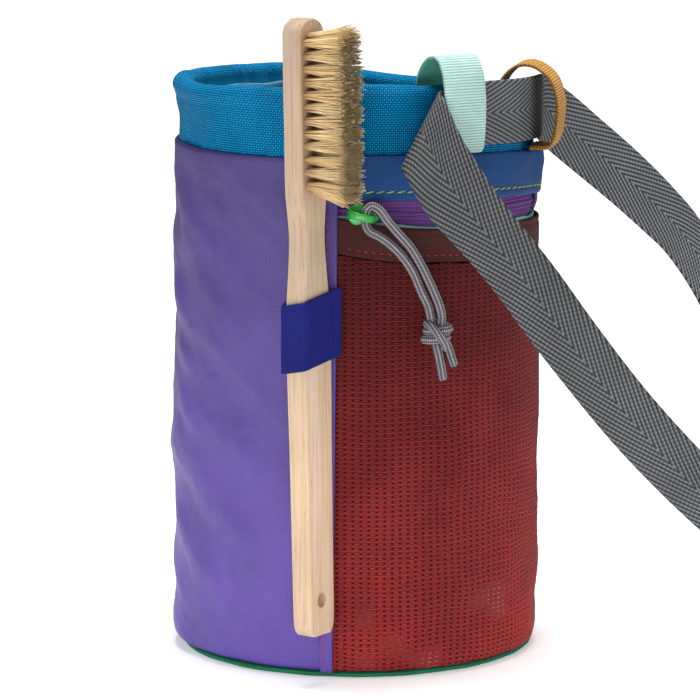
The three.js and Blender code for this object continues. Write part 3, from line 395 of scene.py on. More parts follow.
def weaveHeight(tree, look):
    # height of the threads and how far they lie over, from the UV in mm
    u, v = split(tree, mapped(tree, clothPlace(tree), Rotation=(0, 0, math.radians(look.get("turn", 0)))))[:2]
    if look["weave"] == "herringbone":
        # two slanted directions, mirrored at the centre line: |v| c + u s and u c - |v| s
        side = maths(tree, "ABSOLUTE", v)
        c, s = math.cos(math.radians(look["slant"])), math.sin(math.radians(look["slant"]))
        u, v = [maths(tree, "MULTIPLY", maths(tree, "MULTIPLY_ADD", second, share, first), c)
                for first, second, share in ((side, u, s / c), (u, side, -s / c))]
    waves = [maths(tree, "SINE", maths(tree, "MULTIPLY", value, math.pi / pitch))
             for value, pitch in zip((u, v), look["thread"])]
    if look["weave"] == "plain":
        cell = maths(tree, "MULTIPLY", *waves)
        return maths(tree, "POWER", maths(tree, "ABSOLUTE", cell), 0.55), remap(tree, cell, 0.1, 0.75, 0.0, 1.0)
    row, knot = [maths(tree, "ABSOLUTE", wave) for wave in waves]  # high rows with small bumps along them
    part = maths(tree, "MULTIPLY_ADD", knot, look["knots"], 1 - look["knots"])
    height = maths(tree, "MULTIPLY", row, part)
    return height, maths(tree, "POWER", height, 2.2)


def dustAndPaintedLight(tree, colour, look):
    # slow change of value over the cloth by handling and dust; the changes along an axis are painted light and shade
    place = objectPlace(tree)
    if "paintedLight" in look:
        axes = dict(zip("xyz", split(tree, place)))
        for axis, (low, high, first, last) in look["paintedLight"].items():
            level = remap(tree, axes[axis], low * metresPerMillimetre, high * metresPerMillimetre, first, last)
            colour = addNode(tree, "VectorMath", {0: colour, 3: level}, operation="SCALE").outputs[0]
    depth = look.get("patchDepth", 0.16)
    value = remap(tree, noise(tree, place, 55.0, 3.0), 0.3, 0.7, 1 - depth, 1 + depth / 2)
    return addNode(tree, "VectorMath", {0: colour, 3: value}, operation="SCALE").outputs[0]


def clothFinish(name, look):
    # woven cloth: gaps in the low colour, which is painted shade, threads in the base colour, the over threads in the
    # high one, which is a painted highlight
    finish, tree = newFinish(name)
    height, over = weaveHeight(tree, look)
    ground = blend(tree, remap(tree, height, look.get("gap", 0.25), 0.85, 0.0, 1.0), look["low"], look["base"])
    threads = blend(tree, maths(tree, "MULTIPLY", over, look["highShare"]), ground, look["high"])
    if "back" in look:  # the side turned into the bag gets another colour where its v starts further on: painted light through the thin mint webbing, painted shade on the mustard, a lighter blue inside the collar
        v = split(tree, clothPlace(tree))[1]
        behind = remap(tree, v, look["backFrom"], look["backFrom"] + 1.5, 0.0, 0.85)
        threads = blend(tree, behind, threads, look["back"])
    complete(tree, dustAndPaintedLight(tree, threads, look), height, 0.8, look["relief"], rough=look["rough"],
             specular=look.get("specular", 0.35), sheen=look.get("sheen", 0.0), sheenRough=0.45)
    return finish


purpleOxford = clothFinish("coated oxford nylon purple", {  # PU-coated, so soft broad highlights over fine threads
    "weave": "plain", "thread": (0.5, 0.5), "base": "#5B439F", "low": "#432D80", "high": "#8673C3",
    "highShare": 0.5, "relief": 0.12, "rough": 0.34, "specular": 0.45, "sheen": 0.0, "patchDepth": 0.16,
    # painted light and shade: lighter low down, where the floor lights the cloth, darker towards the top
    "paintedLight": {"z": (0, 160, 1.42, 0.62)}})
blueOxford = clothFinish("oxford nylon blue", {
    "weave": "plain", "thread": (0.45, 0.45), "base": "#174A8B", "low": "#0A2657", "high": "#417CBE",
    "highShare": 0.6, "relief": 0.12, "rough": 0.5, "specular": 0.16})
tealBallistic = clothFinish("ballistic nylon teal", {  # thick bright filament yarn: every crossing catches light
    "weave": "plain", "thread": (0.64, 0.72), "base": "#0084C2", "low": "#00304E", "high": "#18B6F0",
    "highShare": 0.7, "relief": 0.3, "rough": 0.45, "specular": 0.06, "back": "#1E9BD0", "backFrom": 29.5})
softLining = clothFinish("brushed lining blue grey", {
    "weave": "plain", "thread": (0.5, 0.5), "base": "#4C8EB0", "low": "#3A7592", "high": "#79B0CB",
    "highShare": 0.4, "relief": 0.05, "rough": 0.8, "sheen": 0.3})
greenBase = clothFinish("oxford nylon green", {
    "weave": "plain", "thread": (0.6, 0.6), "base": "#06885A", "low": "#045A3A", "high": "#3FB98A",
    "highShare": 0.5, "relief": 0.12, "rough": 0.55})
mintLining = clothFinish("thin lining taffeta mint", {
    "weave": "plain", "thread": (0.4, 0.4), "base": "#8FD3C4", "low": "#6DB3A6", "high": "#B4E6DB",
    "highShare": 0.4, "relief": 0.04, "rough": 0.6})
zipPurple = clothFinish("zip tape purple", {
    "weave": "rib", "thread": (0.5, 0.9), "base": "#6D2F8F", "low": "#3E1658", "high": "#9A62B8",
    "highShare": 0.5, "relief": 0.12, "rough": 0.6, "knots": 0.5})
maroonHem = clothFinish("folded mesh hem maroon", {
    "weave": "plain", "thread": (0.62, 0.5), "base": "#4C1B17", "low": "#260B0A", "high": "#7A332A",
    "highShare": 0.5, "relief": 0.2, "rough": 0.75})
blueElastic = clothFinish("ribbed elastic royal blue", {
    "weave": "rib", "thread": (0.38, 0.42), "turn": 78, "base": "#141C86", "low": "#080D48", "high": "#2B38AC",
    "highShare": 0.55, "relief": 0.25, "rough": 0.6, "specular": 0.2, "knots": 0.5})
mintWebbing = clothFinish("ribbed webbing mint", {
    "weave": "rib", "thread": (0.85, 0.5), "base": "#BDE9DF", "low": "#8CC4B8", "high": "#F4FFFD",
    "highShare": 0.7, "relief": 0.22, "rough": 0.6, "knots": 0.45, "sheen": 0.15,
    # back: painted light, the teal that light takes through the thin webbing on its inner side
    "back": "#20A58C", "backFrom": 100.0})
mustardWebbing = clothFinish("ribbed webbing mustard", {
    "weave": "rib", "thread": (0.85, 0.5), "base": "#CD8F2B", "low": "#8F5E14", "high": "#EDBE62",
    "highShare": 0.55, "relief": 0.22, "rough": 0.6, "knots": 0.45, "sheen": 0.1,
    # back: painted shade on the inner side, which faces the collar
    "back": "#8A5E1C", "backFrom": 100.0})
greyWebbing = clothFinish("herringbone nylon webbing grey", {  # slow zigzag of the twill across the band
    "weave": "herringbone", "thread": (1.3, 1.3), "slant": 22.0, "base": "#56575A", "low": "#1B1B1D",
    "high": "#94969A", "highShare": 0.5, "relief": 0.3, "rough": 0.5, "specular": 0.3, "knots": 0.42,
    # painted light and shade: darker high up by the fold, lighter on the rear run and round the collar
    "paintedLight": {"z": (60, 165, 1.03, 0.72), "y": (-78, -54, 1.0, 1.75)}})


def meshFinish(name, look):
    # knitted mesh: two ribs to a row, with a dark slit at each mesh; low down the pale lining shows through
    finish, tree = newFinish(name)
    place = clothPlace(tree)
    u, v = split(tree, place)[:2]
    part = maths(tree, "FRACT", maths(tree, "MULTIPLY", v, 1 / look["row"]))
    share = maths(tree, "FRACT", maths(tree, "MULTIPLY", u, 1 / look["mesh"]))
    away = [maths(tree, "MULTIPLY", maths(tree, "SUBTRACT", value, 0.5), size)
            for value, size in ((share, look["mesh"] / look["slit"][0]), (part, look["row"] / look["slit"][1]))]
    flat = addNode(tree, "CombineXYZ", enumerate(away)).outputs[0]
    reach = addNode(tree, "VectorMath", {0: flat}, operation="LENGTH").outputs["Value"]
    slit = remap(tree, reach, 0.35, 0.6, 1.0, 0.0)
    ribs = maths(tree, "COSINE", maths(tree, "MULTIPLY", part, math.pi * 4))
    level = remap(tree, ribs, -1.0, 1.0, 0.0, 1.0)
    fleck = remap(tree, noise(tree, place, 1.6, 2.0), 0.5, 0.72, 0.0, look["fleck"])
    yarn = blend(tree, fleck, blend(tree, level, look["low"], look["base"]), look["high"])
    spot = maths(tree, "ADD", noise(tree, place, 0.045, 1.0), remap(tree, v, 18.0, 74.0, 0.09, -0.1))
    pale = remap(tree, spot, 0.6, 0.74, 0.0, 0.7)
    colour = blend(tree, slit, yarn, blend(tree, pale, look["shade"], look["through"]))
    height = maths(tree, "MULTIPLY_ADD", slit, -1.0, level)
    complete(tree, dustAndPaintedLight(tree, colour, look), height, 0.7, look["relief"], rough=0.62, specular=0.15)
    return finish


redMesh = meshFinish("knitted mesh dark red", {
    "row": 1.5, "mesh": 2.45, "slit": (1.15, 0.55), "base": "#902A28", "low": "#641719", "high": "#B8403E",
    "fleck": 0.5, "shade": "#1C080B", "through": "#8E7C80", "relief": 0.3, "patchDepth": 0.22,
    # painted light and shade: lighter low down near the floor, darker towards the top, lighter towards the right side
    "paintedLight": {"z": (5, 130, 1.5, 0.4), "x": (35, 54, 1.0, 1.4)}})


def threadFinish(name, low, base):
    # sewing thread: two plies seen as a fine slanted line along each stitch
    finish, tree = newFinish(name)
    place = mapped(tree, clothPlace(tree), Scale=(2.2, 2.0, 1.0))
    ply = addNode(tree, "TexWave", {"Vector": place, "Scale": 1.0, "Distortion": 0.0}, bands_direction="DIAGONAL")
    complete(tree, blend(tree, ply.outputs[1], low, base), ply.outputs[1], 1.0, 0.05, rough=0.45)
    return finish


limeThread = threadFinish("polyester thread lime", "#93B414", "#C4EA24")
redThread = threadFinish("polyester thread red", "#8E1418", "#DB2B2E")


def braidFinish(name, look):
    # braided cord: two sets of slanted yarns; a light fleck where a pale yarn comes up
    finish, tree = newFinish(name)
    along, turn = split(tree, clothPlace(tree))[:2]
    lead = maths(tree, "MULTIPLY", along, 1 / look["lay"])
    plies = [maths(tree, "SINE", maths(tree, "MULTIPLY", maths(
        tree, "MULTIPLY_ADD", turn, sign * look["carriers"], lead), math.pi)) for sign in (1, -1)]
    cell = maths(tree, "MULTIPLY", *plies)
    height = maths(tree, "POWER", maths(tree, "ABSOLUTE", cell), 0.5)
    ground = blend(tree, height, look["low"], look["base"])
    colour = blend(tree, remap(tree, cell, 0.25, 0.7, 0.0, 1.0), ground, look["high"])
    complete(tree, colour, height, 0.8, 0.25, rough=0.55)
    return finish


greyBraid = braidFinish("braided cord grey with white fleck", {
    "lay": 0.5, "carriers": 7, "base": "#68646C", "low": "#242226", "high": "#CFCCD2"})


def bambooFinish(name, look):
    # planed bamboo: long pale and tan fibres along the handle, with short dark pores
    finish, tree = newFinish(name)
    place = objectPlace(tree)
    fibres = mapped(tree, place, Rotation=(0, math.radians(look["lean"]), 0),
                    Scale=[1000 / size for size in (look["fibre"], look["fibre"], look["run"])])
    fine = noise(tree, fibres, 1.7, 4.0, 0.6)
    band = remap(tree, noise(tree, fibres, 0.45, 2.0), 0.35, 0.65, 0.0, 1.0)
    ground = blend(tree, band, look["pale"], look["base"])
    grain = blend(tree, remap(tree, fine, 0.52, 0.72, 0.0, 0.75), ground, look["tan"])
    speck = noise(tree, mapped(tree, place, Scale=[1000 / size for size in look["poreSize"]]), 1.0, 1.0)
    colour = blend(tree, remap(tree, speck, 0.7, 0.8, 0.0, 0.45), grain, look["pore"])
    complete(tree, dustAndPaintedLight(tree, colour, look), fine, 0.35, 0.12, rough=0.55, specular=0.3)
    return finish


bareBamboo = bambooFinish("bare planed bamboo", {
    "fibre": 1.1, "run": 60.0, "lean": -0.95, "poreSize": (0.5, 0.5, 3.5), "pale": "#D8BEA8", "base": "#CDB08C",
    # painted light and shade: lighter low down, darker higher up the handle
    "tan": "#B08B62", "pore": "#7A5632", "patchDepth": 0.05, "paintedLight": {"z": (60, 140, 1.1, 0.82)}})


def bristleFinish(name, look):
    # boar bristle: each strand has its own tone; the root colour is painted shade, darker where the tufts stand close
    finish, tree = newFinish(name)
    along, tone = split(tree, clothPlace(tree))[:2]
    strand = blend(tree, tone, look["base"], look["pale"])
    colour = blend(tree, remap(tree, along, 0.0, 6.5, 0.85, 0.0), strand, look["root"])
    shader = tree.nodes["Principled BSDF"]
    tree.links.new(colour, shader.inputs["Base Color"])
    shader.inputs["Roughness"].default_value = 0.5
    shader.inputs["Specular IOR Level"].default_value = 0.35
    return finish


strawBristle = bristleFinish("boar bristle straw", {"base": "#FFDA98", "pale": "#FFF2CC", "root": "#B57A3E"})


def hardFinish(name, look):
    # enamel or moulded plastic, with a faint uneven surface
    finish, tree = newFinish(name)
    skin = noise(tree, objectPlace(tree), look["grain"], 3.0)
    complete(tree, blend(tree, skin, look["low"], look["base"]), skin, 0.4, look["relief"], rough=look["rough"],
             coat=look.get("coat", 0.0), coatRough=0.12)
    return finish


greenEnamel = hardFinish("glossy enamel green", {
    "base": "#0FAE2F", "low": "#0A8F25", "grain": 900.0, "relief": 0.02, "rough": 0.32, "coat": 0.5})
blackPlastic = hardFinish("moulded acetal black", {
    "base": "#2C2C2F", "low": "#232326", "grain": 2600.0, "relief": 0.05, "rough": 0.48})
print("finishes:", len(bpy.data.materials))


# ---- the bag's own surface

bagShape = {
    "diameter": 115.6, "height": 162.5, "lift": 1.9, "foldDepth": 1.3, "clearance": 0.3, "wall": 1.5,
    "backSeam": 100.0, "frontSeamTop": -7.4, "frontSeamBottom": -9.4,
    "topAzimuth": [-135, -90, -57, -23, 8, 50, 90, 135, 180],
    "topHeight": [1.006, 1.003, 0.9995, 0.9975, 1.003, 0.996, 0.985, 0.992, 1.002],
    "profileHeight": [0, 0.03, 0.08, 0.25, 0.45, 0.7, 1.02],
    "profileRadius": [0.97, 0.997, 1.005, 1.005, 1.006, 1.003, 1],
    # azimuth, height share, slope, length share, width share, depth
    "folds": [
        (-55, 0.33, -35, 0.25, 0.04, 0.9), (-50, 0.24, -38, 0.2, 0.045, -0.7), (-70, 0.24, -47, 0.16, 0.035, 0.8),
        (-61, 0.68, -33, 0.17, 0.045, 0.7), (-45, 0.56, -50, 0.2, 0.06, -0.5), (-88, 0.4, 70, 0.22, 0.09, 0.9),
        (-82, 0.07, 10, 0.2, 0.06, 0.8),
        (-110, 0.4, 40, 0.2, 0.05, 0.7), (-150, 0.6, -40, 0.25, 0.06, 0.6), (-175, 0.25, 35, 0.22, 0.05, 0.7),
        (145, 0.5, 50, 0.24, 0.05, 0.6), (120, 0.25, -35, 0.18, 0.05, 0.6), (22, 0.13, 24, 0.2, 0.035, 0.5),
        (55, 0.2, 28, 0.2, 0.04, 0.45), (40, 0.52, -18, 0.22, 0.05, -0.35), (84, 0.97, 0, 0.14, 0.09, 1.0),
    ],
}
bagRadius = bagShape["diameter"] / 2
bagHeight = bagShape["height"]
clearance = bagShape["clearance"]
gapAngle = math.degrees(clearance / bagRadius)


def around(azimuth, radius, z):
    # point at an azimuth, a radius and a height: (r sin a, -r cos a, z)
    turn = np.radians(azimuth)
    return np.stack(np.broadcast_arrays(radius * np.sin(turn), -radius * np.cos(turn), z), -1).astype(float)


def bodyTop(azimuth):
    return bagHeight * readCurve(bagShape["topAzimuth"], bagShape["topHeight"], azimuth, closed=True)


def drapeFolds(azimuth, z):
    # each fold is a ridge along a sloped line: depth * (1 - u^2)^2 * e^(-v^2), with u along it and v across it
    push = 0.0
    for centre, height, slope, length, width, depth in bagShape["folds"]:
        away = azimuth - centre
        away = away - fullTurn * np.round(away / fullTurn)
        across, rise = np.radians(away) * bagRadius, z - height * bagHeight
        c, s = math.cos(math.radians(slope)), math.sin(math.radians(slope))
        u = (across * c + rise * s) / (length * bagHeight)
        v = (rise * c - across * s) / (width * bagHeight)
        push = push + depth * bagShape["foldDepth"] * np.clip(1 - u * u, 0, 1) ** 2 * np.exp(-v * v)
    return push


def clothRadius(azimuth, z):
    profile = readCurve(bagShape["profileHeight"], bagShape["profileRadius"], z / bagHeight)
    return bagRadius * profile + drapeFolds(azimuth, z)


def frontSeam(z):
    return mix(bagShape["frontSeamBottom"], bagShape["frontSeamTop"], z / bagHeight)


def clothPatch(fromEdge, toEdge, bottomEdge, topEdge, steps, offset=0.0, relief=None):
    # u runs between two azimuth edges, v between two height edges; radius = cloth radius - offset + relief
    u, v = np.meshgrid(np.linspace(0, 1, steps[0]), np.linspace(0, 1, steps[1]), indexing="ij")
    middle = mix(fromEdge(bagHeight / 2), toEdge(bagHeight / 2), u)
    z = mix(bottomEdge(middle), topEdge(middle), v)
    azimuth = mix(fromEdge(z), toEdge(z), u)
    radius = clothRadius(azimuth, z) - offset
    if relief is not None:
        radius = radius + relief(azimuth, z, u, v)
    return gridPart(around(azimuth, radius, z), np.radians(azimuth)[None] * bagRadius, z[None])


def foldedEdge(distance, roll, inset):
    # a turned edge: the skin falls inwards by a quarter circle over the last few tenths of a millimetre
    s = np.clip(1 - distance / roll, 0, 1)
    return -inset * (1 - np.sqrt(1 - s * s))


# ---- purple body cloth

bodyCloth = {"steps": (268, 172), "wall": 1.5, "drape": 1.35, "crinkle": 0.14, "hemRoll": 1.6, "hemInset": 1.0}


def bodyRelief(azimuth, z, u, v):
    # slow diagonal drape, small crinkles and turned edges at the top and bottom
    arc = np.radians(azimuth) * bagRadius
    along, across = arc * 0.78 - z * 0.62, arc * 0.62 + z * 0.78
    drape = (softNoise(along * 0.6 + 300, across + 300, 10.0, 4) * 0.6
             + softNoise(along * 0.4 + 90, across + 200, 5.5, 5) * 0.4)
    crinkle = softNoise(arc + 400, z, 3.2, 6)
    hem = foldedEdge(bodyTop(azimuth) - z, bodyCloth["hemRoll"], bodyCloth["hemInset"])
    foot = foldedEdge(z - bagShape["lift"], 2.5, 1.2)
    calm = bump(bodyTop(azimuth) - z, 2, 14)
    return bodyCloth["drape"] * drape * calm + bodyCloth["crinkle"] * crinkle + hem + foot


buildPiece("bodyCloth", [clothPatch(
    lambda z: bagShape["backSeam"] + gapAngle / 2 - fullTurn + 0 * z, lambda z: frontSeam(z) - gapAngle / 2,
    lambda a: bagShape["lift"] + 0 * a, bodyTop, bodyCloth["steps"], relief=bodyRelief)],
    purpleOxford, "bag", ["body_panel"], wall=bodyCloth["wall"], closed=False)
print("body cloth")


# ---- pocket: mesh, hem, zip tape, band

pocketShape = {
    "azimuth": [-8, 13, 28, 62, 100],
    "bandBottom": [0.918, 0.918, 0.916, 0.906, 0.89],
    "zipLine": [0.897, 0.888, 0.885, 0.884, 0.872],
    "hemTop": [0.887, 0.867, 0.861, 0.857, 0.851],
    "hemBottom": [0.819, 0.801, 0.797, 0.784, 0.78],
    "tapeWall": 1.0, "hemLap": 3.0, "edgeShow": 0.5, "coilWidth": 5.0, "coilHeight": 0.9,
    "meshSteps": (112, 396), "meshRow": 1.5, "meshRelief": 0.09,
}


def pocketEdge(azimuth, column):
    return bagHeight * readCurve(pocketShape["azimuth"], pocketShape[column], azimuth)


def pocketFrom(z):
    return frontSeam(z) + gapAngle / 2


def pocketTo(z):
    return bagShape["backSeam"] - gapAngle / 2 + 0 * z


edgeOffset = bagShape["wall"] + clearance
tapeOffset = edgeOffset + pocketShape["tapeWall"] + clearance


def meshSag(azimuth, z):
    # the rows of the mesh hang a little, and ripple near the base
    arc = np.radians(azimuth) * bagRadius
    return 0.8 * softNoise(arc + 60, z + 40, 22.0, 11) + 0.35 * softNoise(arc + 20, z + 90, 7.0, 12)


def meshRelief(azimuth, z, u, v):
    # rounded rows of yarn on a surface that sags between the seams
    arc = np.radians(azimuth) * bagRadius
    slack = 0.75 * softNoise(arc * 0.8 + 10, z + arc * 0.35 + 100, 16.0, 13) * np.sin(np.pi * u) ** 0.5
    crease = 0.3 * softNoise(arc * 0.5 + 200, z * 1.4 + arc * 0.5, 6.0, 14) * bump(90 - z, 0, 60)
    rows = pocketShape["meshRelief"] * np.cos(4 * np.pi * (z + meshSag(azimuth, z)) / pocketShape["meshRow"])
    return slack + crease + rows + foldedEdge(z - bagShape["lift"], 2.5, 1.2)


def meshPatch():
    points, faces, uv = clothPatch(
        pocketFrom, pocketTo, lambda a: bagShape["lift"] + 0 * a, lambda a: pocketEdge(a, "hemBottom") - clearance,
        pocketShape["meshSteps"], relief=meshRelief)
    azimuth = np.degrees(uv[:, 0] / bagRadius)
    uv[:, 1] += meshSag(azimuth, uv[:, 1]) + pocketShape["meshRow"] * 8
    return points, faces, uv


buildPiece("meshPocket", [meshPatch()], redMesh, "bag", ["mesh_pocket"], wall=1.5, closed=False)


def hemRelief(azimuth, z, u, v):
    # two turned layers: round top and bottom edges, and a shallow groove along each row of stitches
    arc = np.radians(azimuth) * bagRadius
    top, bottom = pocketEdge(azimuth, "hemTop") - z, z - pocketEdge(azimuth, "hemBottom")
    groove = -0.25 * (np.exp(-((top - 1.7) / 0.7) ** 2) + np.exp(-((bottom - 2.2) / 0.7) ** 2))
    return 0.25 * softNoise(arc, z, 5.0, 15) + groove + foldedEdge(top, 1.2, 0.7) + foldedEdge(bottom, 1.0, 0.4)


buildPiece("hemCloth", [clothPatch(
    pocketFrom, pocketTo, lambda a: pocketEdge(a, "hemBottom"), lambda a: pocketEdge(a, "hemTop"), (160, 36),
    relief=hemRelief)], maroonHem, "bag", ["hem_band"], wall=1.5, closed=False)


def bandRelief(azimuth, z, u, v):
    # a turned lower edge, a groove under the lime stitches, and a slight belly
    arc = np.radians(azimuth) * bagRadius
    low = z - pocketEdge(azimuth, "bandBottom")
    groove = -0.3 * np.exp(-((low - 2.7) / 0.8) ** 2)
    return (0.3 * softNoise(arc + 33, z * 2, 8.0, 16) + groove + foldedEdge(low, 1.0, 0.6) + 0.35 * np.sin(np.pi * v)
            + foldedEdge(bodyTop(azimuth) - z, 1.4, 0.9))


buildPiece("bandCloth", [clothPatch(
    pocketFrom, pocketTo, lambda a: pocketEdge(a, "bandBottom"), bodyTop, (170, 48), relief=bandRelief)],
    blueOxford, "bag", ["pocket_band"], wall=1.5, closed=False)


def edgeTop(azimuth):
    ripple = 0.35 * softNoise(np.radians(azimuth) * bagRadius, azimuth * 0, 5.0, 17)
    return pocketEdge(azimuth, "hemTop") + pocketShape["edgeShow"] + ripple


buildPiece("liningEdge", [clothPatch(
    pocketFrom, pocketTo, lambda a: pocketEdge(a, "hemTop") - pocketShape["hemLap"], edgeTop, (160, 10),
    offset=edgeOffset)], mintLining, "bag", ["lining_edge"], wall=1.0, closed=False)


def tapeRelief(azimuth, z, u, v):
    # closed reversed coil: a low rounded ridge with a parting line and two rows beside it
    away = z - pocketEdge(azimuth, "zipLine")
    ridge = pocketShape["coilHeight"] * np.clip(1 - (away / (pocketShape["coilWidth"] / 2)) ** 2, 0, 1)
    lines = sum(-0.5 * np.exp(-((away - at) / 0.28) ** 2) for at in (-1.7, -0.15, 1.4))
    return ridge + lines


buildPiece("zipTape", [clothPatch(
    pocketFrom, pocketTo, lambda a: pocketEdge(a, "hemTop") - pocketShape["hemLap"],
    lambda a: pocketEdge(a, "bandBottom") + pocketShape["hemLap"], (200, 80), offset=tapeOffset, relief=tapeRelief)],
    zipPurple, "bag", ["zip_tape"], wall=1.0, closed=False)

print("pocket")


# ---- flap over the front seam

flapShape = {"width": 4.0, "wall": 1.0, "gap": 12.5, "steps": (14, 190)}
flapHalf = math.degrees(flapShape["width"] / bagRadius) / 2


def flapRelief(azimuth, z, u, v):
    # turned long edges and a slight ripple where the stitches pull it down
    edge = np.minimum(u, 1 - u) * flapShape["width"]
    ripple = 0.18 * softNoise(z, azimuth * 0, 4.0, 18) * (1 - u)
    return foldedEdge(edge, 0.8, 0.6) + ripple


buildPiece("seamFlap", [clothPatch(
    lambda z: frontSeam(z) - flapHalf, lambda z: frontSeam(z) + flapHalf, lambda a: bagShape["lift"] + 0 * a,
    lambda a: bagHeight - flapShape["gap"] + 0 * a, flapShape["steps"], offset=-clearance - flapShape["wall"],
    relief=flapRelief)], purpleOxford, "bag", ["seam_flap"], wall=1.0, closed=False)
print("seam flap")


# ---- collar with its rolled rim

collarShape = {
    "rimHeight": 184.4, "rimDiameter": 114.2, "rimRoll": 5.8, "tuck": 5.0, "shift": -0.9, "steps": 500,
    "rimAzimuth": [-160, -120, -90, -57, -23, 4, 30, 60, 95, 140, 168],
    "rimShare": [0.986, 0.989, 0.992, 0.989, 0.996, 1, 0.996, 0.984, 0.968, 0.958, 0.966],
    "wallHeight": [0, 0.25, 0.5, 0.7, 0.8], "wallRadius": [0.98, 0.982, 0.984, 0.989, 0.991],
    "pleats": [-154, -148, -139, -133, -112, -86, -60, -31, -4, 22, 49, 75, 104, 127, 149, 171],
    "pleatDepth": 1.1, "pucker": 0.45, "swell": 0.35,
}


def rimTop(azimuth):
    share = readCurve(collarShape["rimAzimuth"], collarShape["rimShare"], azimuth, closed=True)
    return collarShape["rimHeight"] * share


def pleatsAt(azimuth, spread):
    # sum of narrow bells, one at each pleat
    away = np.asarray(azimuth)[..., None] - np.array(collarShape["pleats"])
    away = away - fullTurn * np.round(away / fullTurn)
    return np.exp(-(away / spread) ** 2).sum(-1)


def makeCollar():
    azimuth = np.linspace(-180, 180, collarShape["steps"], endpoint=False)[:, None]
    low, high = bodyTop(azimuth) - collarShape["tuck"], rimTop(azimuth)
    rim, roll = collarShape["rimDiameter"] / 2, collarShape["rimRoll"] / 2
    share = np.linspace(0, 0.74, 26)[None]
    wallRadius = rim * readCurve(collarShape["wallHeight"], collarShape["wallRadius"], share)
    turn = np.radians(np.linspace(-32, 205, 30))[None]
    outer = [wallRadius + 0 * low, mix(low, high, share), share + 0 * low]
    rolled = [rim - roll + roll * np.cos(turn) + 0 * low, high - roll + roll * np.sin(turn), 1 + 0 * turn + 0 * low]
    down = np.linspace(0, 1, 14)[1:][None]
    inner = [mix(rolled[0][:, -1:], rim * 0.965 - bagShape["wall"], bump(down, 0, 1)),
             mix(rolled[1][:, -1:], low, down), 1 - down * 0.9 + 0 * low]
    radius, z, rise = [np.concatenate([a, b, c], 1) for a, b, c in zip(outer, rolled, inner)]
    column = np.arange(radius.shape[1])[None]
    outside, inside = column < 26 + 9, column >= 26 + 14
    arc = np.radians(azimuth) * rim
    seam = z - bodyTop(azimuth)
    pucker = softNoise(arc + 500 + 0 * z, z * 0.12, 2.1, 21) + 0.6 * softNoise(arc + 300 + 0 * z, z * 0.1, 4.4, 22)
    swell = softNoise(arc + 250 + 0 * z, z * 1.3, 11.0, 23) + 0.4 * softNoise(arc + 20 + 0 * z, z * 1.5, 5.0, 24)
    radius = radius + outside * (collarShape["pucker"] * pucker * np.exp(-np.clip(seam, 0, 99) / 4.5)
                                 + collarShape["swell"] * swell * bump(seam, 1, 8))
    under = (z - (high - collarShape["rimRoll"])) / 0.7
    radius = radius - outside * (column < 26) * 0.35 * np.exp(-under * under)
    tuck = np.clip((column - 40) / 8, 0, 1) * np.clip((78 - column) / 20, 0, 1)
    radius = radius + inside * tuck * collarShape["pleatDepth"] * (pleatsAt(azimuth, 1.7) - 0.4)
    waver = 0.35 * softNoise(arc + 70 + 0 * z, 0 * z, 9.0, 25)
    z = z + (column >= 26) * (waver - 0.45 * pleatsAt(azimuth, 1.5) * inside)
    points = around(azimuth + 0 * z, radius, z)
    points[..., 0] += collarShape["shift"] * np.clip(rise, 0, 1) ** 2
    spans = [np.diff(values, axis=1, append=values[:, :1]) for values in (radius, z)]
    run = np.cumsum(np.hypot(*spans), axis=1)
    v = np.concatenate([np.zeros((len(z), 1)), run], 1)
    v = np.concatenate([v, v[:1]], 0)
    u = np.radians(np.linspace(-180, 180, collarShape["steps"] + 1))[:, None] * rim + 0 * v
    part = gridPart(points, u[None], v[None], closedU=True, closedV=True)
    buildPiece("collarCloth", [part], tealBallistic, "bag", ["collar"])


makeCollar()
print("collar")


# ---- lining with its gathered edge

liningShape = {
    "wall": 1.2, "drop": 5.6, "gathers": 8, "gatherDepth": 0.9, "steps": 300,
    "height": [0, 0.04, 0.12, 0.5, 0.8, 0.9, 0.97, 1.0], "radius": [0.93, 0.985, 1, 1, 1, 0.975, 0.92, 0.9],
}


def makeLining():
    azimuth = np.linspace(-180, 180, liningShape["steps"], endpoint=False)[:, None]
    tube = bagRadius - (tapeOffset + 2 * pocketShape["tapeWall"] + 3 * clearance)
    top, floor = rimTop(azimuth) - liningShape["drop"], bagShape["lift"]
    share = np.concatenate([np.linspace(0, 0.12, 10), np.linspace(0.15, 0.8, 20), np.linspace(0.82, 1, 24)])[None]
    gather = bump(share, 0.86, 1.0)
    arc = np.radians(azimuth) * tube
    ripple = (0.6 * np.sin(np.radians(azimuth * liningShape["gathers"]))
              + 0.7 * softNoise(arc + 200 + 0 * share, 0 * share, 6.0, 31)
              + 0.35 * softNoise(arc + 100 + 0 * share, 0 * share, 2.6, 32))
    radius = tube * readCurve(liningShape["height"], liningShape["radius"], share)
    radius = radius + liningShape["gatherDepth"] * ripple * gather
    radius = radius + 0.4 * softNoise(arc + 0 * share, share * 120, 14.0, 33) * (1 - gather) - 0.3
    z = mix(floor, top, share) + 0.9 * softNoise(arc + 400 + 0 * share, 0 * share, 7.0, 34) * gather
    bottom = np.linspace(0, 1, 8)[:-1][None] * radius[:, :1]
    radius = np.concatenate([bottom, radius], 1)
    z = np.concatenate([floor + 0 * bottom, z], 1)
    run = np.cumsum(np.hypot(np.diff(radius, axis=1, prepend=0), np.diff(z, axis=1, prepend=floor)), axis=1)
    v = np.concatenate([run, run[:1]], 0)
    u = np.radians(np.linspace(-180, 180, liningShape["steps"] + 1))[:, None] * tube + 0 * v
    part = gridPart(around(azimuth + 0 * z, radius, z), u[None], v[None], closedU=True)
    buildPiece("liningCloth", [part], softLining, "bag", ["lining"], wall=liningShape["wall"],
               closed=False, weld=0.001)


makeLining()
print("lining")


# ---- base

baseShape = {
    "steps": 300, "radius": [0, 30, 52.6, 54.9, 55.9, 56.2, 55.6, 54.2, 30, 0],
    "z": [0, 0, 0, 0.12, 0.5, 1.0, 1.5, 1.75, 1.75, 1.75],
}


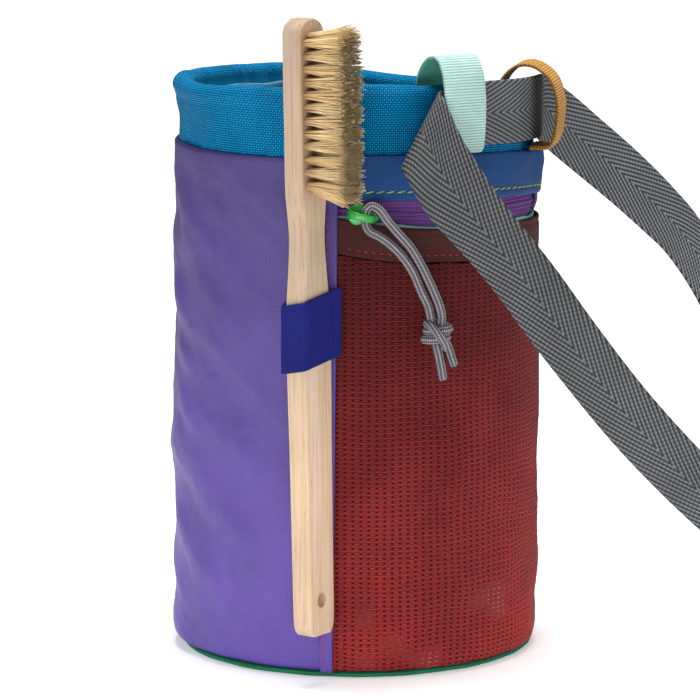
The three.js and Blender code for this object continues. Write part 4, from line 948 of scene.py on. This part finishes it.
def makeBase():
    # a disc whose bound edge is a soft round bead that wavers a little
    azimuth = np.linspace(-180, 180, baseShape["steps"], endpoint=False)[:, None]
    radius, z = np.array(baseShape["radius"], float)[None], np.array(baseShape["z"], float)[None]
    arc = np.radians(azimuth) * bagRadius
    radius = radius + (radius > 50) * 0.35 * softNoise(arc + 0 * radius, 0 * radius, 8.0, 41)
    run = np.cumsum(np.hypot(np.diff(radius, axis=1, prepend=0), np.diff(z + 0 * radius, axis=1, prepend=0)), axis=1)
    v = np.concatenate([run, run[:1]], 0)
    u = np.radians(np.linspace(-180, 180, baseShape["steps"] + 1))[:, None] * bagRadius + 0 * v
    part = gridPart(around(azimuth + 0 * radius, radius, z + 0 * radius), u[None], v[None], closedU=True)
    buildPiece("baseCloth", [part], greenBase, "bag", ["base_panel"], weld=0.001)


makeBase()
print("base")


# ---- rows of stitches

def stitchParts(line, outwards, pitch, length, radius, slant=0.0, lift=0.12):
    # each stitch is a short round thread that rises in an arc from the cloth: lift * sqrt(1 - t^2)
    run = lengthsOf(line)
    count = int(run[-1] / pitch)
    t = np.linspace(-1, 1, 7)
    at = (np.arange(count)[:, None] + 0.5) * pitch + t[None] * length / 2
    read = lambda values: np.stack([np.interp(at, run, values[:, k]) for k in range(3)], -1)
    rise = lift * np.sqrt(np.clip(1 - t * t, 0, 1)) - 0.08
    lines = read(line) + unit(read(outwards)) * rise[None, :, None]
    lines[..., 2] += slant * t
    return tubeParts(lines, radius * np.sqrt(np.clip(1 - 0.85 * t * t, 0, 1))[None], 6, unit(read(outwards)))


def onCloth(azimuth, z, lift, relief):
    # points on the dressed cloth at a list of azimuths and heights, and the direction out of it
    radius = clothRadius(azimuth, z) + relief + lift
    return around(azimuth, radius, z), around(azimuth, 1.0, 0 * z)


stitchShape = {
    "seat": 0.1, "bandRise": 2.7, "hemRise": 2.2, "flapIn": 0.9, "tackOut": 0.5, "tackSeat": 0.35,
    "lime": {"pitch": 3.2, "length": 2.45, "radius": 0.23, "slant": 0.25},
    "hem": {"pitch": 2.5, "length": 1.15, "radius": 0.18, "slant": -0.15},
    "flap": {"pitch": 2.9, "length": 1.9, "radius": 0.18},
    "tack": {"pitch": 0.55, "length": 1.9, "radius": 0.22},
}


def makeStitches():
    seat = stitchShape["seat"]
    azimuth = np.linspace(-4, 99, 500)
    z = pocketEdge(azimuth, "bandBottom") + stitchShape["bandRise"]
    share = (z - pocketEdge(azimuth, "bandBottom")) / 14
    line, out = onCloth(azimuth, z, seat, bandRelief(azimuth, z, azimuth * 0, share))
    buildPiece("limeStitches", [stitchParts(line, out, **stitchShape["lime"])], limeThread, "bag")
    red = []
    azimuth = np.linspace(-3.5, 99, 500)
    z = pocketEdge(azimuth, "hemBottom") + stitchShape["hemRise"]
    line, out = onCloth(azimuth, z, seat, hemRelief(azimuth, z, 0, 0))
    red.append(stitchParts(line, out, **stitchShape["hem"]))
    z = np.linspace(4, bagHeight - 16, 500)
    azimuth = frontSeam(z) - flapHalf + stitchShape["flapIn"]
    line, out = onCloth(azimuth, z, seat + clearance + flapShape["wall"], flapRelief(azimuth, z, 0.225, 0))
    red.append(stitchParts(line, out, **stitchShape["flap"]))
    z = np.linspace(120.5, 126, 60)
    azimuth = frontSeam(z) - flapHalf - stitchShape["tackOut"]
    line, out = onCloth(azimuth, z, stitchShape["tackSeat"], 0)
    red.append(stitchParts(line, out, **stitchShape["tack"]))
    buildPiece("redStitches", red, redThread, "bag")


makeStitches()
print("stitches")


# ---- zip slider

sliderShape = {
    "length": 9.6, "height": 6.4, "azimuth": 3.4, "tilt": -12.0, "bar": 1.25, "barWidth": 2.5,
    "bridge": [(-2.75, 0.5), (-2.7, 1.9), (-2.3, 3.6), (-1.0, 4.65), (1.2, 4.8), (3.2, 4.5), (4.5, 3.5), (4.95, 1.9),
               (5.0, 0.5)],
}


def sliderPlace(local):
    # the slider's own x runs along the zip, y up, z out of the cloth
    c, s = math.cos(math.radians(sliderShape["tilt"])), math.sin(math.radians(sliderShape["tilt"]))
    x, y, z = local[..., 0] * c - local[..., 1] * s, local[..., 0] * s + local[..., 1] * c, local[..., 2]
    height = float(pocketEdge(sliderShape["azimuth"], "zipLine"))
    profile = float(readCurve(bagShape["profileHeight"], bagShape["profileRadius"], height / bagHeight))
    seat = bagRadius * profile + 2 * clearance
    place = around(sliderShape["azimuth"], seat, height)
    return np.stack([x + place[0] - sliderShape["height"] / 2, place[1] - z, y + place[2] + clearance], -1)


def makeSlider():
    # drop-shaped plate: rings that shrink as they rise; the bridge is a flat bar bent over it
    half = sliderShape["height"] / 2
    angle = np.linspace(0, 2 * np.pi, 96, endpoint=False)[:, None]
    tail = sliderShape["length"] - half - 1.3
    reachX = np.where(np.cos(angle) > 0, half + (tail + 1.3 - half) * np.abs(np.cos(angle)) ** 1.6, half)
    shrink = np.array([0, 0.5, 0.9, 0.98, 1.0, 1.0, 0.97, 0.9, 0.6, 0.3, 0.0])[None]
    rise = np.array([0, 0, 0, 0.06, 0.25, 0.85, 1.1, 1.22, 1.34, 1.4, 1.42])[None]
    taper = 1 - 0.25 * (np.cos(angle) > 0) * np.cos(angle)
    plate = np.stack([reachX * np.cos(angle) * shrink, half * np.sin(angle) * shrink * taper, rise + 0 * angle], -1)
    parts = [gridPart(sliderPlace(plate), 0.0, 0.0, closedU=True)]
    centre = smoothCurve([(x, 0, z) for x, z in sliderShape["bridge"]], 60)
    width = sliderShape["barWidth"] / 2 * (1 + 0.12 * np.cos(np.linspace(0, 2 * np.pi, 60)))
    halfWidth = np.array([[0, 1, 0]]) * width[:, None]
    points, faces, uv = stripParts(centre, halfWidth, sliderShape["bar"], across=14, edge=0.45)
    parts.append((sliderPlace(points), faces, uv))
    buildPiece("zipSlider", parts, greenEnamel, "bag", ["zip_slider"], weld=0.001)


makeSlider()
print("zip slider")


# ---- zip cord: two strands through the bridge and one knot

cordShape = {
    "diameter": 2.8,
    "upper": [(2.8, -61.5, 145.1), (3, -61.6, 146.9), (4.5, -62.1, 148.2), (6.8, -62.7, 147.1), (9.2, -63, 143.9),
              (12.2, -62.9, 140.4), (16.4, -62.4, 135.5), (19.7, -61.6, 129.8), (22.9, -60.6, 123), (25.1, -59.6, 117.4),
              (25.8, -59.1, 114.3), (25.7, -59.0, 110.4), (26.7, -58.4, 107.0), (28.1, -57.4, 103.6), (28.9, -57.4, 101),
              (29.8, -57.2, 98.3)],
    "lower": [(2.8, -61.5, 144.5), (2.7, -61.6, 142.7), (3.7, -62.2, 140.7), (6.6, -62.8, 139.2), (9.5, -62.9, 137.2),
              (13.3, -62.4, 133.5), (16.7, -61.6, 128.6), (19.6, -60.6, 121.9), (21.7, -59.8, 117.3), (22.4, -59.4, 114.3),
              (23.2, -59.0, 110.4), (24.0, -58.7, 106.4), (24.8, -58.6, 102.9), (25.6, -58.8, 99), (26.4, -58.9, 94.2)],
    "knot": (24.4, -58.6, 108.5), "wrapRadius": 3.1, "wraps": 2.3, "wrapPitch": 2.7,
}


def makeCords():
    radius = cordShape["diameter"] / 2
    knot = np.array(cordShape["knot"])
    turn = np.linspace(0, 1, 90)
    angle = 2 * np.pi * cordShape["wraps"] * turn + 0.6
    rise = (turn - 0.5) * cordShape["wraps"] * cordShape["wrapPitch"]
    wrap = np.stack([cordShape["wrapRadius"] * np.cos(angle), 0.8 * cordShape["wrapRadius"] * np.sin(angle),
                     rise + 0.5 * np.cos(angle)], -1)
    slant = math.radians(14)
    wrap = np.stack([wrap[:, 0] * math.cos(slant) + wrap[:, 2] * math.sin(slant), wrap[:, 1],
                     wrap[:, 2] * math.cos(slant) - wrap[:, 0] * math.sin(slant)], -1)
    cross = smoothCurve([(-3.2, -1.0, 3.6), (-1.6, -3.3, 2.6), (0.6, -4.4, 0.2), (2.4, -3.3, -2.4), (2.6, -0.8, -4.0)], 40)
    knotPiece = buildPiece("cordKnot", [tubeParts(wrap + knot, radius, 14, (0, 0, 1.0)),
                                        tubeParts(cross + knot, radius * 0.95, 14, (1.0, 0, 0))],
                           greyBraid, "bag", ["zip_knot"])
    lengths = []
    for name, column, nodes in (("cordUpper", "upper", ["cord_upper", "cord_tail_right"]),
                                ("cordLower", "lower", ["cord_lower", "cord_tail_left"])):
        line = smoothCurve(cordShape[column], 140)
        end = np.clip((lengthsOf(line)[-1] - lengthsOf(line)) / 1.2, 0, 1)
        piece = buildPiece(name, [tubeParts(line, radius * np.sqrt(1 - 0.6 * (1 - end) ** 2), 16, (0, -1.0, 0))],
                           greyBraid, "bag", nodes)
        length = lengthsOf(line)[-1] * metresPerMillimetre
        lengths.append(round(length, 4))
    print("cord lengths in m:", lengths)


makeCords()


# ---- brush

brushShape = {
    "length": 189.3, "width": 13.7, "thickness": 7.2, "edge": 0.6, "turn": 37.0, "lean": 0.95, "x": -14.7,
    "bottom": 16.1, "hole": 4.4, "holeRise": 11.0, "elasticHeight": 110.1, "play": 0.35,
    "height": [0, 0.006, 0.02, 0.1, 0.3, 0.46, 0.53, 0.59, 0.645, 0.685, 0.72, 0.8, 0.972, 0.981, 0.99, 0.996, 1.0],
    "share": [0.56, 0.72, 0.84, 0.87, 0.92, 1, 0.97, 0.78, 0.66, 0.74, 0.86, 0.87, 0.86, 0.82, 0.68, 0.45, 0.2],
    "bristleStart": 0.7206, "bristleLength": 14.4, "rows": 12, "columns": 3, "pitch": 3.885, "endPitch": 1.8,
    "columnPitch": 4.0, "rootRadius": 1.25, "tipRadius": 2.2, "strands": 84, "strand": 0.16,
}
lean, turnBrush = math.radians(brushShape["lean"]), math.radians(brushShape["turn"])
brushAxis = np.array([-math.sin(lean), 0, math.cos(lean)])
brushFace = np.array([math.cos(turnBrush), -math.sin(turnBrush), 0])
brushAcross = unit(np.cross(brushAxis, brushFace))
brushOut = np.cross(brushAcross, brushAxis)
brushDepth = (brushShape["width"] * brushAcross[1] + brushShape["thickness"] * -brushFace[1]) / 2


def brushCentre(z):
    x = brushShape["x"] - (z - brushShape["elasticHeight"]) * math.tan(lean)
    surface = math.sqrt((bagRadius + clearance) ** 2 - (brushShape["x"] + brushShape["play"]) ** 2)
    return np.array([x, -(surface + brushShape["play"] + brushDepth), z])


def onBrush(local):
    # the brush's own x is across its broad side, y along it, z out of the bristle side
    local = np.asarray(local, float)
    return (brushCentre(brushShape["bottom"]) + local[..., :1] * brushAcross + local[..., 1:2] * brushAxis
            + local[..., 2:3] * brushOut)


def makeHandle():
    # flat outline with its hole, thickened with rounded edges, then placed
    height = np.concatenate([np.linspace(0, 0.02, 12), np.linspace(0.03, 0.93, 120), np.linspace(0.94, 1.0, 48)])
    width = readCurve(brushShape["height"], brushShape["share"], height) * brushShape["width"] / 2
    right = np.stack([width, height * brushShape["length"]], -1)
    left = right[::-1] * [-1, 1]
    angle = np.linspace(0, -2 * np.pi, 40, endpoint=False)
    radius = brushShape["hole"] / 2
    hole = np.stack([np.cos(angle) * radius, brushShape["holeRise"] + np.sin(angle) * radius], -1)
    data = bpy.data.curves.new("handleOutline", "CURVE")
    data.dimensions, data.fill_mode = "2D", "BOTH"
    for loop in (np.concatenate([right, left]), hole):
        line = data.splines.new("POLY")
        line.points.add(len(loop) - 1)
        corners = np.tile([0.0, 0.0, 0.0, 1.0], (len(loop), 1))
        corners[:, :2] = loop
        line.points.foreach_set("co", corners.ravel())
        line.use_cyclic_u = True
    data.bevel_depth, data.bevel_resolution, data.offset = brushShape["edge"], 4, -brushShape["edge"]
    data.extrude = brushShape["thickness"] / 2 - brushShape["edge"]
    flat = bpy.data.objects.new("handleOutline", data)
    bpy.context.scene.collection.objects.link(flat)
    mesh = bpy.data.meshes.new_from_object(flat.evaluated_get(bpy.context.evaluated_depsgraph_get()))
    bpy.data.objects.remove(flat)
    mesh.name = "brushHandle"
    place = np.empty(len(mesh.vertices) * 3, np.float32)
    mesh.vertices.foreach_get("co", place)
    mesh.vertices.foreach_set("co", (onBrush(place.reshape(-1, 3)) * metresPerMillimetre).astype(np.float32).ravel())
    work = bmesh.new()
    work.from_mesh(mesh)
    bmesh.ops.remove_doubles(work, verts=work.verts, dist=0.00002)
    bmesh.ops.recalc_face_normals(work, faces=work.faces)
    for edge in work.edges:
        edge.smooth = len(edge.link_faces) < 2 or edge.calc_face_angle(0) < math.radians(32)
    for face in work.faces:
        face.smooth = True
    work.to_mesh(mesh)
    work.free()
    mesh.materials.clear()
    mesh.materials.append(bareBamboo)
    piece = bpy.data.objects.new("brushHandle", mesh)
    bpy.context.scene.collection.objects.link(piece)
    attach(piece, "brush")
    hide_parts("brush_handle")


def makeBristles():
    # strands from each tuft's hole: they leave it close together and spread towards their tips
    rng = np.random.default_rng(7)
    start = brushShape["bristleStart"] * brushShape["length"] + brushShape["rootRadius"]
    places = []
    for row in range(brushShape["rows"] + 2):
        inner = min(max(row - 1, 0), brushShape["rows"] - 1) * brushShape["pitch"]
        y = start + inner + (row > 0) * brushShape["endPitch"] + (row > brushShape["rows"]) * brushShape["endPitch"]
        columns = brushShape["columns"] - (row in (0, brushShape["rows"] + 1))
        places += [((column - (columns - 1) / 2) * brushShape["columnPitch"],
                    y + (column == 1 and columns > 2) * brushShape["pitch"] * 0.3) for column in range(columns)]
    tuft = np.repeat(np.array(places), brushShape["strands"], axis=0)
    count = len(tuft)
    angle, spread = rng.uniform(0, 2 * np.pi, count), np.sqrt(rng.uniform(0, 1, count))
    offset = np.stack([np.cos(angle), np.sin(angle)], -1) * spread[:, None]
    length = brushShape["bristleLength"] + rng.normal(0, 0.45, count) - 0.5 * spread
    middle = np.array(places)[:, 1].mean()
    ends = (tuft[:, 1] - middle) / (np.ptp(np.array(places)[:, 1]) / 2)
    t = np.linspace(0, 1, 5)[None, :, None]
    root = tuft + offset * brushShape["rootRadius"] * 0.85
    tip = tuft + offset * brushShape["tipRadius"] + rng.normal(0, 0.45, (count, 2))
    tip[:, 1] += 1.5 * np.sign(ends) * np.abs(ends) ** 6
    stray = rng.uniform(0, 1, count) > 0.97
    tip[stray] += rng.normal(0, 1.3, (stray.sum(), 2))
    flat = mix(root[:, None], tip[:, None], t ** 1.25) + rng.normal(0, 0.12, (count, 1, 2)) * np.sin(np.pi * t)
    depth = brushShape["thickness"] / 2 - 0.6 + t[..., 0] * (length[:, None] + 0.6)
    lines = onBrush(np.concatenate([flat, depth[..., None]], -1))
    points, faces, uv = tubeParts(lines, brushShape["strand"] * (1 - 0.35 * t[..., 0]), 3, brushAxis)
    tone = np.repeat(rng.uniform(0, 1, count), 4 * 3 * 4)
    uv[:len(tone), 1] = tone
    buildPiece("brushBristles", [(points, faces, uv)], strawBristle, "brush", ["brush_bristles"],
               closed=False)
    return count


makeHandle()
print("brush: handle and", makeBristles(), "bristles")


# ---- elastic loop round the handle

elasticShape = {
    "width": 21.0, "wall": 1.0, "rise": 0.253, "foot": -20.6, "toe": -4.8, "footLength": 4.5, "swell": 1.006,
}


def makeElastic():
    # from its foot on the body, round three corners of the handle, to a tab over the flap
    centre = brushCentre(brushShape["elasticHeight"])
    across = np.array([brushAcross[0], brushAcross[1], 0]) * brushShape["width"] / 2
    face = brushFace * brushShape["thickness"] / 2
    corners = [centre + a * across + b * face for a, b in ((-1, -1), (-1, 1), (1, 1))]
    reach = brushShape["play"] + elasticShape["wall"] / 2
    foot = bagRadius * elasticShape["swell"] + bagShape["foldDepth"] / 3 + clearance + elasticShape["wall"] / 2
    heel = around(elasticShape["foot"], foot, 0.0)
    path = [around(elasticShape["foot"] + elasticShape["footLength"] * k, foot, 0.0) for k in (1, 0.75, 0.5, 0.25)]
    path.append(heel)
    tab = bagRadius * elasticShape["swell"] + flapShape["wall"] + 2 * clearance + elasticShape["wall"] / 2
    toe = around(elasticShape["toe"], tab, 0.0)
    stops = [heel, *corners, toe]
    direction = lambda a, b: math.atan2(-(b[0] - a[0]), b[1] - a[1])
    for i, place in enumerate(corners):
        first = direction(stops[i], place)
        swing = direction(place, stops[i + 2]) - first
        swing -= 2 * math.pi * round(swing / (2 * math.pi))
        for k in np.linspace(0, 1, 9):
            path.append(place + reach * np.array([math.cos(first + swing * k), math.sin(first + swing * k), 0]))
    path.append(toe)
    line = evenly(np.array([[p[0], p[1], 0.0] for p in path]), 260)
    line[:, 2] = brushShape["elasticHeight"] + (line[:, 0] - brushShape["x"]) * elasticShape["rise"]
    half = np.tile([0, 0, elasticShape["width"] / 2], (len(line), 1))
    run = lengthsOf(np.array([[p[0], p[1], 0] for p in path]))
    folds = [run[5 + 9 * n + 4] for n in range(3)]

    def relief(u, v):
        # ribs along the band, and two pressed lines beside each corner
        ribs = 0.06 * np.cos(2 * np.pi * v / 1.05)
        pressed = sum(np.exp(-((u - at - side) / 0.22) ** 2) for at in folds for side in (-0.5, 0.6))
        return ribs - 0.12 * pressed
    buildPiece("elasticBand", [stripParts(line, half, elasticShape["wall"], across=60, edge=0.05, relief=relief)],
               blueElastic, "bag", ["elastic_loop"])


makeElastic()
print("elastic")


# ---- webbing loops over the rim

loopShape = {
    "width": 15.4, "wall": 1.2, "inset": 1.25,
    "out": [-0.06, 0.3, 0.66, 0.86, 0.98, 1, 0.72, 0.1, -0.45, -0.95, -1.35, -1.4],
    "up": [0, 0, 0.01, 0.1, 0.3, 0.56, 0.83, 0.985, 1, 0.92, 0.76, 0.5],
    "sides": [
        {"name": "mintLoop", "azimuth": 31.5, "turn": 3, "reach": 4.8, "rise": 28.7, "node": "mint_loop",
         "finish": mintWebbing, "slot": "mint_webbing"},
        {"name": "mustardLoop", "azimuth": 74, "turn": 5, "reach": 8.4, "rise": 25.8, "node": "mustard_loop",
         "finish": mustardWebbing, "slot": "mustard_webbing"},
    ],
}


def makeLoop(side):
    # from the seam under the belt, out and up round it, over the rim and down inside
    outwards = around(side["azimuth"] + side["turn"], 1.0, 0.0)
    across = np.array([-outwards[1], outwards[0], 0]) * loopShape["width"] / 2
    foot = float(bodyTop(side["azimuth"])) + 1.5 * clearance + loopShape["wall"] / 2
    points = []
    for out, up in zip(loopShape["out"], loopShape["up"]):
        reach = out * collarShape["rimRoll"] * loopShape["inset"] if out < 0 else out * side["reach"]
        points.append(around(side["azimuth"], bagRadius, foot + up * side["rise"]) + outwards * reach)
    line = smoothCurve(points, 150)
    half = np.tile(across, (len(line), 1))
    part = stripParts(line, half, loopShape["wall"], across=26, edge=0.07, backShift=200.0)
    buildPiece(side["name"], [part], side["finish"], "bag", [side["node"]])


for side in loopShape["sides"]:
    makeLoop(side)
print("loops")


# ---- waist belt

beltShape = {
    "width": 19.8, "wall": 1.5, "height": 175.0, "reach": 240.0, "bite": 0.1, "leave": 26.5, "enter": 84.0, "sag": 1.4,
    "shearStart": 0.75, "shear": 3.8, "foldRadius": 3.8, "foldTurn": 135.0, "creaseTilt": 30.0, "creaseDrop": 3.4,
    "creaseSlope": 11.0, "creaseSink": 3.0, "creaseLead": 4.1,
    "buckleLength": 45.0, "buckleWidth": 27.0, "buckleAlong": -0.015, "buckleOut": 0.925,
    # out and along in shares of the reach from the body, up in shares of the height
    "front": [(-0.098, -0.288, 0.84), (-0.033, -0.31, 0.733), (0.03, -0.327, 0.617), (0.113, -0.347, 0.478),
              (0.215, -0.363, 0.338), (0.325, -0.372, 0.213), (0.44, -0.368, 0.116), (0.56, -0.345, 0.064),
              (0.69, -0.295, 0.057), (0.83, -0.21, 0.057)],
    "rear": [(0.015, -0.005, 0.973), (0.06, 0.03, 0.917), (0.12, 0.072, 0.8435), (0.168, 0.105, 0.779),
             (0.2, 0.128, 0.731), (0.242, 0.155, 0.643), (0.29, 0.18, 0.51), (0.34, 0.2, 0.385),
             (0.405, 0.218, 0.26), (0.49, 0.233, 0.15),
             (0.59, 0.238, 0.075), (0.7, 0.225, 0.057), (0.82, 0.175, 0.058)],
    "leanShare": [0, 0.15, 0.3, 0.45, 0.6, 0.78, 0.92, 1], "leanFront": [0, 2, 13, 25, 38, 20, 0, 0],
    "leanRear": [0, -8, -20, -31, -34, -16, 0, 0],
}


def beltStations():
    # the band stands on its edge: half = up made square to the run, leant about it, scaled to half the width
    b = beltShape
    up, radius, halfWidth = np.array([0, 0, 1.0]), bagRadius + b["wall"] / 2 - b["bite"], b["width"] / 2
    left = around(b["leave"] - 90, 1.0, 0.0)
    share = np.linspace(0, 1, 70)
    collar = around(mix(b["enter"], b["leave"], share), radius, b["height"] - b["sag"] * (1 - share))
    shear = b["shear"] * np.clip((share - b["shearStart"]) / (1 - b["shearStart"]), 0, 1)
    collarHalf = up * halfWidth - shear[:, None] * left
    tilt = math.radians(b["creaseTilt"])
    crease = up * math.cos(tilt) - left * math.sin(tilt)
    ahead = unit(left - crease * np.dot(left, crease))
    outside = unit(np.cross(crease, ahead))
    outside = -outside if outside[1] > 0 else outside
    drift = -math.tan(tilt)
    creaseHalf = crease * halfWidth / math.cos(tilt + math.radians(b["creaseSlope"]))
    start = collar[-1] + left * b["creaseLead"] - up * b["creaseDrop"]
    turn = np.linspace(0, math.radians(b["foldTurn"]), 26)[:, None]
    fold = (start + ahead * b["foldRadius"] * np.sin(turn) + outside * b["foldRadius"] * (1 - np.cos(turn))
            + crease * drift * b["foldRadius"] * turn)
    away = unit(ahead * math.cos(turn[-1, 0]) + outside * math.sin(turn[-1, 0]) + crease * drift)
    lead = fold[-1] + away * halfWidth - up * b["creaseSink"]
    place = lambda rows: [(bagRadius + o * b["reach"], a * b["reach"], u * b["height"]) for o, a, u in rows]
    buckle = np.array([bagRadius + b["buckleOut"] * b["reach"], b["buckleAlong"] * b["reach"], b["buckleWidth"] / 2])

    def ending(side):
        end = buckle + np.array([0, side * (b["buckleLength"] / 2 + clearance), 0])
        return [end + np.array([0, side * halfWidth, 0]), end]

    def leaning(line, degrees):
        along = unit(np.gradient(line, axis=0))
        half = unit(up - along * along[:, 2:]) * halfWidth
        return turned(half, along, degrees)

    def onFloor(line, half):
        flat = np.hypot(half[:, 0], half[:, 1]) / halfWidth
        line = line.copy()
        line[:, 2] = np.maximum(line[:, 2], half[:, 2] + flat * b["wall"] / 2)
        return line

    front = smoothCurve([fold[-1], lead, *place(b["front"]), *ending(-1)], 420)
    share = np.linspace(0, 1, len(front))
    half = leaning(front, readCurve(b["leanShare"], b["leanFront"], share))
    settle = np.clip(share * lengthsOf(front)[-1] / (2 * b["width"]), 0, 1)[:, None]
    settle = settle * settle * (3 - 2 * settle)
    frontHalf = mix(creaseHalf, half, settle)
    front = onFloor(front, frontHalf)
    rear = smoothCurve([collar[1], collar[0], *place(b["rear"]), *ending(1)], 400)[2:]
    share = np.linspace(0, 1, len(rear))
    rearHalf = leaning(rear, readCurve(b["leanShare"], b["leanRear"], share))
    rear = onFloor(rear, rearHalf)
    centre = np.concatenate([rear[::-1], collar[1:], fold, front[1:]])
    halves = np.concatenate([rearHalf[::-1], collarHalf[1:], np.tile(creaseHalf, (len(fold), 1)), frontHalf[1:]])
    run = lengthsOf(centre)
    at = np.linspace(0, run[-1], 760)
    centre, halves = [np.stack([np.interp(at, run, c[:, k]) for k in range(3)], -1) for c in (centre, halves)]
    weight = np.exp(-np.linspace(-2, 2, 5) ** 2 / 2)
    weight /= weight.sum()
    for _ in range(2):  # eases the joints between the stretches
        inner = slice(2, -2)
        centre[inner] = sum(w * centre[k:len(centre) - 4 + k] for k, w in enumerate(weight))
        halves[inner] = sum(w * halves[k:len(halves) - 4 + k] for k, w in enumerate(weight))
    return centre, halves


def makeBelt():
    centre, halves = beltStations()
    piece = buildPiece("waistBelt", [stripParts(centre, halves, beltShape["wall"], across=22, edge=0.06)], greyWebbing,
                       "bag", ["belt"])


makeBelt()

for name, finish in (("pocket_lining", mintLining), ("belt_buckle", blackPlastic)):
    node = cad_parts[name]
    node.data.materials.clear()
    node.data.materials.append(finish)
print("carried-over nodes finished")

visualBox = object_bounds()
{"cad": [list(corner) for corner in cadBox], "visual": [list(corner) for corner in visualBox]}
